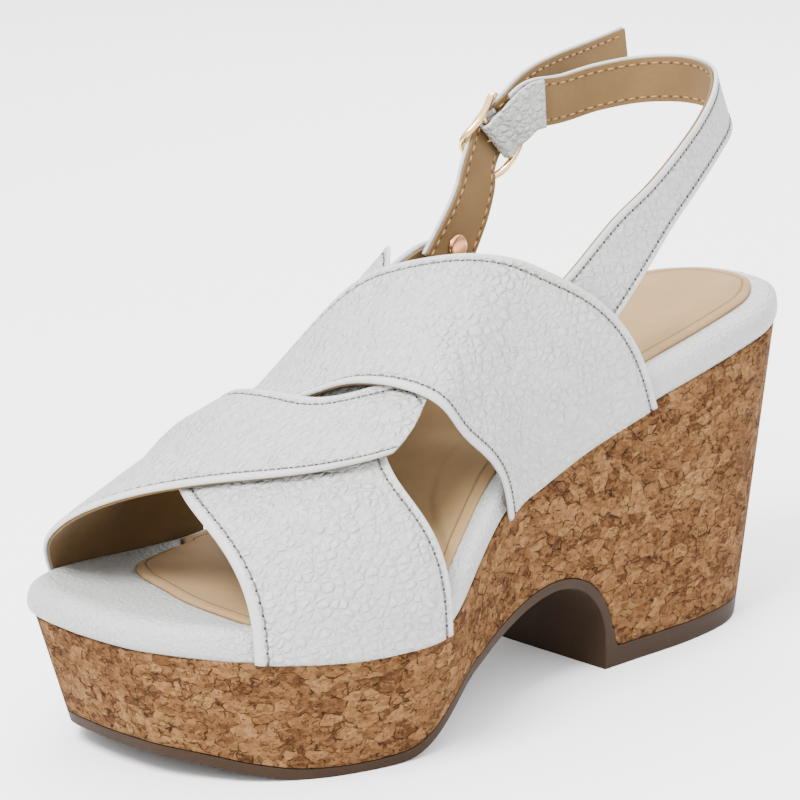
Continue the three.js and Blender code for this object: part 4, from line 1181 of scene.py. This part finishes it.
# ---- Bands over the foot ------------------------------------------------------------------
@dataclass
class Bands:
    """Three lined bands that cross over the foot."""

    last: Last
    finishes: Finishes
    sewing: Sewing
    stack: float = 3.15
    ironing: int = 70

    def surface(self, front: Array, rear: Array, lift: Callable[[Array, Array], Array]) -> Surface:
        """Surface between two edges on the foot's form, each a list of angle and y."""
        front_edge, rear_edge = faired(front), faired(rear)

        def point(u: Array, across: Array, height: Array) -> Array:
            """Points at shares along and across, at heights off the form."""
            a, b = spline(front_edge, u), spline(rear_edge, u)
            angle = np.clip(mix(a[:, 0], b[:, 0], across), 0, 180)
            y = mix(a[:, 1], b[:, 1], across)
            return self.last.form(y, angle, lift(angle, y) + height)

        return FairSurface(point, self.ironing)

    def toe_lift(self, angle: Array, y: Array) -> Array:
        """The toe band lies on the under band, and on the cross band along their seam."""
        foot = 1 - smooth(148, 170, angle)
        return self.stack * foot * (1 + smooth(-15, -8, y) * smooth(82, 90, angle))

    def cross_lift(self, angle: Array, y: Array) -> Array:
        """The cross band lies on the under band, and on the toe band's tucked tab."""
        tab = (1 - smooth(80, 90, angle)) * (1 - smooth(34, 44, y))
        return self.stack * smooth(34, 52, angle) * (1 + tab) + 0.4 * smooth(85, 110, angle)

    def build(self) -> None:
        """Make the three bands."""
        under = self.surface(
            np.array([
                (0, -34.5), (18, -34.2), (38, -34), (52, -33.7), (64, -33), (78, -31.3), (91, -27),
                (103, -17), (115, -1), (127, 16), (139, 31.5), (154, 40.7), (166, 48), (180, 54)]),
            np.array([
                (0, 19.4), (10, 19.4), (22, 18), (39, 13.5), (55, 9), (72, 24), (86, 42), (97, 55),
                (109, 60), (124, 63.5), (139, 69), (150, 84), (158, 104), (180, 113)]),
            lambda angle, y: 0 * angle)
        Panel("under_upper", under, ("under_band",), ("under_band_lining",), Body.SOLE,
              inner=26).build(self.finishes, self.sewing)
        toe = self.surface(
            np.array([
                (180, -31), (168, -34.5), (152, -40), (138, -44.5), (122, -47.5), (107, -47),
                (96, -40), (86, -31), (76, -24.5), (65, -15.5), (59, -4.5), (55, 6), (53, 13)]),
            np.array([
                (180, 21), (166, 20), (152, 17), (138, 13), (126, 9), (114, 6.5), (104, 5),
                (95, 4.2), (88, 6), (81, 13), (73, 23.5), (64, 30), (56, 29)]),
            self.toe_lift)
        Panel("toe_upper", toe, ("toe_band",), ("toe_band_lining",), Body.SOLE,
              inner=22).build(self.finishes, self.sewing)
        cross = self.surface(
            np.array([
                (0, 54), (8, 51.5), (16, 46.5), (27, 40), (40, 33.4), (53, 28), (65, 23.8),
                (76, 19.3), (84.5, 14.4), (89, 7), (96, -3), (104, -5.5), (112, -5)]),
            np.array([
                (0, 113), (6, 108), (13, 101), (23, 90), (34, 80.5), (46, 72.6), (58, 65),
                (70, 58.2), (81, 52.3), (92, 47), (105, 42.4), (123, 29), (141, 10)]),
            self.cross_lift)
        Panel("cross_upper", cross, ("cross_band",), ("cross_band_lining",), Body.SOLE,
              inner=24).build(self.finishes, self.sewing)


# ---- Straps and buckle --------------------------------------------------------------------
Knot = tuple[tuple[float, float, float], tuple[float, float, float], float]


class Ribbon:
    """Strap along a route of knots, each a place, an across direction and a half width."""

    def __init__(self, knots: Sequence[Knot], trim: float = 0.0) -> None:
        """Keep the knots as three curves."""
        self.route = np.array([k[0] for k in knots], float)
        self.across = np.array([k[1] for k in knots], float)
        self.halves = np.array([[k[2] - trim] for k in knots], float)

    def surface(self, u: Array, across: Array, height: Array) -> Array:
        """Points at shares along and across, at heights off the route."""
        step = 1e-4
        ahead, behind = np.minimum(u + step, 1), np.maximum(u - step, 0)
        along = unit(spline(self.route, ahead) - spline(self.route, behind))
        side = spline(self.across, u)
        side = unit(side - along * np.sum(side * along, axis=1, keepdims=True))
        out = unit(np.cross(along, side))
        half = spline(self.halves, u)
        return spline(self.route, u) + side * half * (2 * across[:, None] - 1) + out * height[:, None]


@dataclass
class Sling:
    """Heel strap, buckle strap and buckle tab of the sling, with the buckle."""

    finishes: Finishes
    sewing: Sewing
    strap_width: float = 14.5
    base_width: float = 22.0
    pivot: tuple[float, float] = (97.0, 113.0)
    buckle_at: tuple[float, float, float] = (-28.6, 115.0, 141.5)
    buckle_pitch: float = 44.0
    buckle_length: float = 19.0
    wire: float = 1.05
    bar: float = 0.85
    strap_arch: float = 3.5
    strap_dip: float = 0.5
    ply: Ply = field(default_factory=lambda: Ply(
        leather_low=0.1, leather_high=1.25, lining_high=-0.12, lining_setback=0.5,
        stitch_inset=2.1, groove=0.3, swell=0.16))

    def in_buckle(self, along: float, across: float, out: float) -> Array:
        """Place in the buckle's own axes."""
        pitch = math.radians(self.buckle_pitch)
        c, s = math.cos(pitch), math.sin(pitch)
        return np.array(self.buckle_at) + along * np.array([0, c, s]) \
            + across * np.array([0, s, -c]) + out * np.array([-1, 0, 0])

    def flare(self, share: float) -> float:
        """Half width between the strap's and its base's."""
        return mix(self.strap_width, self.base_width, share) / 2

    def across_buckle(self) -> Array:
        """Direction across the strap in the buckle."""
        return self.in_buckle(0, 1, 0) - self.in_buckle(0, 0, 0)

    def heel_route(self) -> list[Knot]:
        """Route of the heel strap."""
        y, z = self.pivot
        half = self.strap_width / 2
        return [
            ((28, y - 4, z - 4.4), (-0.1, -0.62, 0.78), self.flare(1)),
            ((28, 108, 120.8), (-0.08, -0.62, 0.78), self.flare(0.7)),
            ((28.2, 119.5, 129.6), (0, -0.63, 0.77), self.flare(0.28)),
            ((27.6, 131, 137.8), (0, -0.62, 0.78), self.flare(0.06)),
            ((24.6, 143.5, 145), (0, -0.55, 0.83), half),
            ((18.4, 156, 150.2), (-0.12, -0.4, 0.9), half),
            ((8, 165.6, 153.4), (-0.08, -0.25, 0.96), half),
            ((-4.5, 168, 154.4), (0, -0.2, 0.98), half),
            ((-15.8, 161.8, 153.8), (0.08, -0.2, 0.98), half),
            ((-22.8, 150.4, 152), (0.08, -0.22, 0.97), half),
            ((-25.8, 138, 149.8), (0.04, -0.3, 0.95), half),
            (self.in_buckle(14, 0, -2.4) + np.array([0, 1.3, -1.6]), (0, -0.5, 0.86), half),
            (self.in_buckle(8, 0, -2.1), -self.across_buckle(), half),
        ]

    def buckle_route(self) -> list[Knot]:
        """Route of the buckle strap, from the rivet through the buckle to its tail."""
        y, z = self.pivot
        half, reach, across = self.strap_width / 2, self.buckle_length / 2, self.across_buckle()
        return [
            ((-28, y - 4.2, z - 6), (-0.1, 0.83, -0.56), self.flare(0.85)),
            ((-28, 101, 119), (-0.08, 0.83, -0.56), self.flare(0.5)),
            ((-28.4, 105.6, 127.2), (0, 0.82, -0.57), self.flare(0.15)),
            (self.in_buckle(-reach, 0, self.strap_dip), across, half),
            (self.in_buckle(0, 0, self.strap_arch), across, half),
            (self.in_buckle(reach, 0, self.strap_dip), across, half),
            ((-30.6, 131.5, 152.2), (0, 0.42, -0.91), half),
            ((-32.2, 142, 154.2), (0, 0.2, -0.98), half),
            ((-33.6, 153, 155.4), (0, 0.14, -0.99), half),
            ((-34.3, 164, 156.8), (0, 0.12, -0.99), half),
            ((-34.3, 174.5, 158.6), (0, 0.12, -0.99), half),
        ]

    def build_strap(self, name: str, route: list[Knot], node: str, bend: Bend, lining_end: float) -> None:
        """Make one strap that rises out of its fixed base.

        Args:
            name: Piece name.
            route: Knots of the strap.
            node: Frame node of its leather.
            bend: Stretch over which the strap leaves the sole.
            lining_end: Share of the strap that its lining covers.
        """
        Panel(name, Ribbon(route).surface, (node,), (node + "_lining",), bend, self.ply, rows=190, inner=8,
              lining_end=lining_end, lining_low=-0.85, lining_seams=True).build(self.finishes, self.sewing)

    def build_tab(self) -> None:
        """White tab that wraps the centre bar and is sewn back onto the heel strap."""
        middle = self.bar + 0.35 + 0.5
        half = self.strap_width / 2 - 0.1
        ribbon = Ribbon(self.heel_route())
        places = [
            (4.8, 0.3), (3, 1.2), (1.2, middle - 0.05), (-0.6, middle - 0.15), (-middle, 0.4),
            (-middle * 0.92, -0.8), (-0.4, -middle), (2, -middle - 0.25), (5, -middle - 1.5)]
        knots: list[Knot] = [(self.in_buckle(a, 0, o), self.across_buckle(), half) for a, o in places]
        under = 0.7 + 0.45 + 0.65
        for t in (0.995, 0.96, 0.925, 0.89):
            sides = ribbon.surface(np.full(3, t), np.array([0.5, 0.0, 1.0]), np.array([-under, 0, 0]))
            knots.append((sides[0], unit(sides[1] - sides[2]), half))
        loop = Ribbon(knots)
        u = np.linspace(0, 1, 90)
        across = np.array([0, 0.006, 0.02, 0.05, 0.2, 0.4, 0.6, 0.8, 0.95, 0.98, 0.994, 1])
        edge = np.minimum(np.minimum(across, 1 - across) * 2 * half / 0.5, 1)
        thick = 0.5 * np.sqrt(np.clip(1 - (1 - edge) ** 2, 0, 1))
        outer = np.array([loop.surface(np.full(12, t), across, thick) for t in u])
        inner = np.array([loop.surface(np.full(12, t), across, -thick) for t in u])
        edges = np.full(2 * outer.shape[0] * outer.shape[1], half)
        piece = make_mesh("tab_wrap", *closed_sheet(outer, inner), [self.finishes.white], edge=edges)
        place(piece, Body.SLING, Slot.WHITE, "buckle_tab")

    def build_buckle(self) -> None:
        """Polished wire frame with its centre bar, and the prong."""
        reach, wide = self.buckle_length / 2, self.strap_width / 2 + 1.1 + self.wire
        lift = self.strap_dip + 1.05 + 0.3 + self.wire + 0.35
        turn = np.linspace(0, 2 * np.pi, 96, endpoint=False)
        corner = 0.42
        along = reach * np.sign(np.cos(turn)) * np.abs(np.cos(turn)) ** corner
        across = wide * np.sign(np.sin(turn)) * np.abs(np.sin(turn)) ** corner
        path = np.array([self.in_buckle(a, b, lift * (a / reach) ** 2) for a, b in zip(along, across)])
        centre_bar = np.array([self.in_buckle(0, b, 0) for b in np.linspace(-wide, wide, 5)])
        frame_piece = wire_piece("buckle_wire", [
            (path, np.ones(len(path)), True, self.wire),
            (centre_bar, np.ones(len(centre_bar)), False, self.bar)], self.finishes.gold)
        place(frame_piece, Body.BUCKLE, Slot.GOLD, "buckle_frame")
        top = self.strap_dip + 1.05 + 2 * self.wire + 0.35 + 0.6 + 0.7
        tip = reach + 1.8
        knots = np.array([
            (-0.9, 1.3), (-2, 2.8), (-3.3, top - 0.7), (-5.4, top + 0.25), (-8, top + 0.2), (-tip, top)])
        arm = np.array([self.in_buckle(a, 0, o) for a, o in spline(knots, np.linspace(0, 1, 30))])
        swell = 1 + 0.25 * smooth(0.8, 1.0, np.linspace(0, 1, 30))
        loop_turn = np.linspace(0, 2 * np.pi, 28, endpoint=False)
        eye = np.array([self.in_buckle(1.6 * math.cos(a), 0, 1.6 * math.sin(a)) for a in loop_turn])
        prong = wire_piece("prong_wire", [(arm, swell, False, 0.68), (eye, np.ones(28), True, 0.42)],
                           self.finishes.gold)
        place(prong, Body.PRONG, Slot.GOLD, "buckle_prong")

    def build_rivet(self) -> None:
        """Copper rivet: a domed head on the inner side and a cap outside."""
        y, z = self.pivot
        inner, outer = -28 + 1.35, -28 - 5.7
        head = [
            (0, -6.6), (1.2, -6.6), (1.2, 0), (3.5, 0), (3.6, 0.2),
            (3.5, 0.45), (2.9, 0.85), (1.6, 1.06), (0, 1.1)]
        cap = [
            (0, 0.9), (1.3, 0.9), (1.3, 0), (3.5, 0), (3.6, 0.25),
            (3.5, 0.55), (2.6, 1.25), (1.3, 1.46), (0, 1.5)]
        for name, profile, x, facing, node in (
                ("rivet_head", head, inner, 1, "strap_rivet"), ("rivet_outer", cap, outer, -1, "rivet_cap")):
            turn = np.linspace(0, 2 * np.pi, 41)
            points = np.array([
                [(x + facing * h, y + r * math.cos(a), z + r * math.sin(a)) for a in turn]
                for r, h in profile])
            piece = make_mesh(name, points, grid_faces(len(profile), 41), [self.finishes.copper])
            place(piece, Body.SOLE, Slot.COPPER, node)

    def build(self) -> None:
        """Make the sling and its fittings."""
        y, z = self.pivot
        tucked: Knot = ((28, y - 13.5, z - 10.5), (-0.1, -0.62, 0.78), self.flare(1.0))
        self.build_strap("heel_strap_upper", [tucked, *self.heel_route()], "heel_strap",
                         Bend((28, y, z), (28, y + 14, z + 10)), 0.94)
        self.build_strap("buckle_strap_upper", self.buckle_route(), "buckle_strap",
                         Bend((-28, y, z), (-28, y + 6, z + 11)), 1.0)
        self.build_tab()
        self.build_buckle()
        self.build_rivet()


def wire_piece(
    name: str, runs: Sequence[tuple[Array, Array, bool, float]], look: bpy.types.Material,
) -> bpy.types.Object:
    """Round wires as one mesh.

    Args:
        name: Piece name.
        runs: Path in millimetres, relative radius at each point, whether closed, and radius.
        look: Finish of the wires.

    Returns:
        The wires.
    """
    curve = bpy.data.curves.new(name, "CURVE")
    curve.dimensions = "3D"
    curve.bevel_depth = MM
    curve.bevel_resolution = 5
    curve.use_fill_caps = True
    for path, share, closed, radius in runs:
        line = curve.splines.new("POLY")
        line.points.add(len(path) - 1)
        line.points.foreach_set("co", np.column_stack([path * MM, np.ones(len(path))]).ravel())
        line.points.foreach_set("radius", share * radius)
        line.use_cyclic_u = closed
        line.use_smooth = True
    source = bpy.data.objects.new(name + "_route", curve)
    bpy.context.scene.collection.objects.link(source)
    bpy.context.view_layer.update()
    mesh = bpy.data.meshes.new_from_object(source.evaluated_get(bpy.context.evaluated_depsgraph_get()))
    bpy.data.objects.remove(source)
    mesh.materials.clear()
    mesh.materials.append(look)
    mesh.polygons.foreach_set("use_smooth", [True] * len(mesh.polygons))
    mesh.name = name
    piece = bpy.data.objects.new(name, mesh)
    bpy.context.scene.collection.objects.link(piece)
    return piece


# ---- Studio -------------------------------------------------------------------------------
@dataclass
class Studio:
    """Pale floor, soft light and the camera."""

    camera_at: tuple[float, float, float] = (661.0, -601.4, 332.5)
    look_at: tuple[float, float, float] = (-69.7, 116.7, 56.4)
    lens: float = 160.9
    horizon: float = 0.85
    zenith: float = 3.3

    def aim(self, thing: bpy.types.Object, at: Sequence[float], target: Sequence[float]) -> None:
        """Put a lamp or camera somewhere and turn it to a target, in millimetres."""
        here, there = Vector(at) * MM, Vector(target) * MM
        thing.location = here
        thing.rotation_euler = (there - here).to_track_quat("-Z", "Y").to_euler()

    def light(self, name: str, at: Sequence[float], size: float, power: float) -> None:
        """Soft square lamp aimed at the sandal."""
        lamp = bpy.data.lights.new(name, "AREA")
        lamp.size = size
        lamp.energy = power
        holder = bpy.data.objects.new(name, lamp)
        bpy.context.scene.collection.objects.link(holder)
        self.aim(holder, at, (0, 60, 60))

    def build(self) -> None:
        """Make the studio."""
        floor = bpy.data.meshes.new("floor")
        half = 6.0
        corners = [(-half, -half, 0), (half, -half, 0), (half, half, 0), (-half, half, 0)]
        floor.from_pydata(corners, [], [(0, 1, 2, 3)])
        shader = Shader("floor", {"Roughness": 0.9, "Specular IOR Level": 0.1})
        cloud = shader.noise(400.0, 2.0)
        tone = shader.blend(cloud, (0.88, 0.88, 0.88), (0.9, 0.9, 0.9))
        floor.materials.append(shader.finish(tone, 0.86 + 0.05 * cloud))
        ground = bpy.data.objects.new("floor", floor)
        bpy.context.scene.collection.objects.link(ground)
        world = bpy.data.worlds.new("studio")
        world.use_nodes = True
        tree = world.node_tree
        direction = add_node(tree, "ShaderNodeTexCoord", {}, {}, "Generated")
        height = add_node(tree, "ShaderNodeSeparateXYZ", {}, {0: direction}, 2)
        sky = add_node(tree, "ShaderNodeMix", {"data_type": "RGBA"}, {
            0: height.ramp(-0.1, 0.75), 6: rgba((self.horizon,) * 3), 7: rgba((self.zenith,) * 3)}, 2)
        tree.links.new(sky.socket, tree.nodes["Background"].inputs["Color"])
        bpy.context.scene.world = world
        self.light("key", (150, -650, 950), 0.45, 36.0)
        self.light("fill", (900, -100, 500), 0.8, 5.0)
        self.light("rim", (-500, 900, 900), 0.8, 18.0)
        camera = bpy.data.cameras.new("camera")
        camera.sensor_width = 36.0
        camera.lens = self.lens
        camera.clip_end = 20.0
        holder = bpy.data.objects.new("camera", camera)
        bpy.context.scene.collection.objects.link(holder)
        self.aim(holder, self.camera_at, self.look_at)
        bpy.context.scene.camera = holder


def main() -> None:
    """Build the sandal round its frame."""
    logging.basicConfig(level=logging.INFO, format="%(message)s")
    finishes = Finishes()
    last = Last()
    sewing = Sewing(finishes)
    Studio().build()
    SoleUnit(last, finishes).build()
    Footbed(last, finishes).build()
    Bands(last, finishes, sewing).build()
    Sling(finishes, sewing).build()


if __name__ == "__main__":
    main()
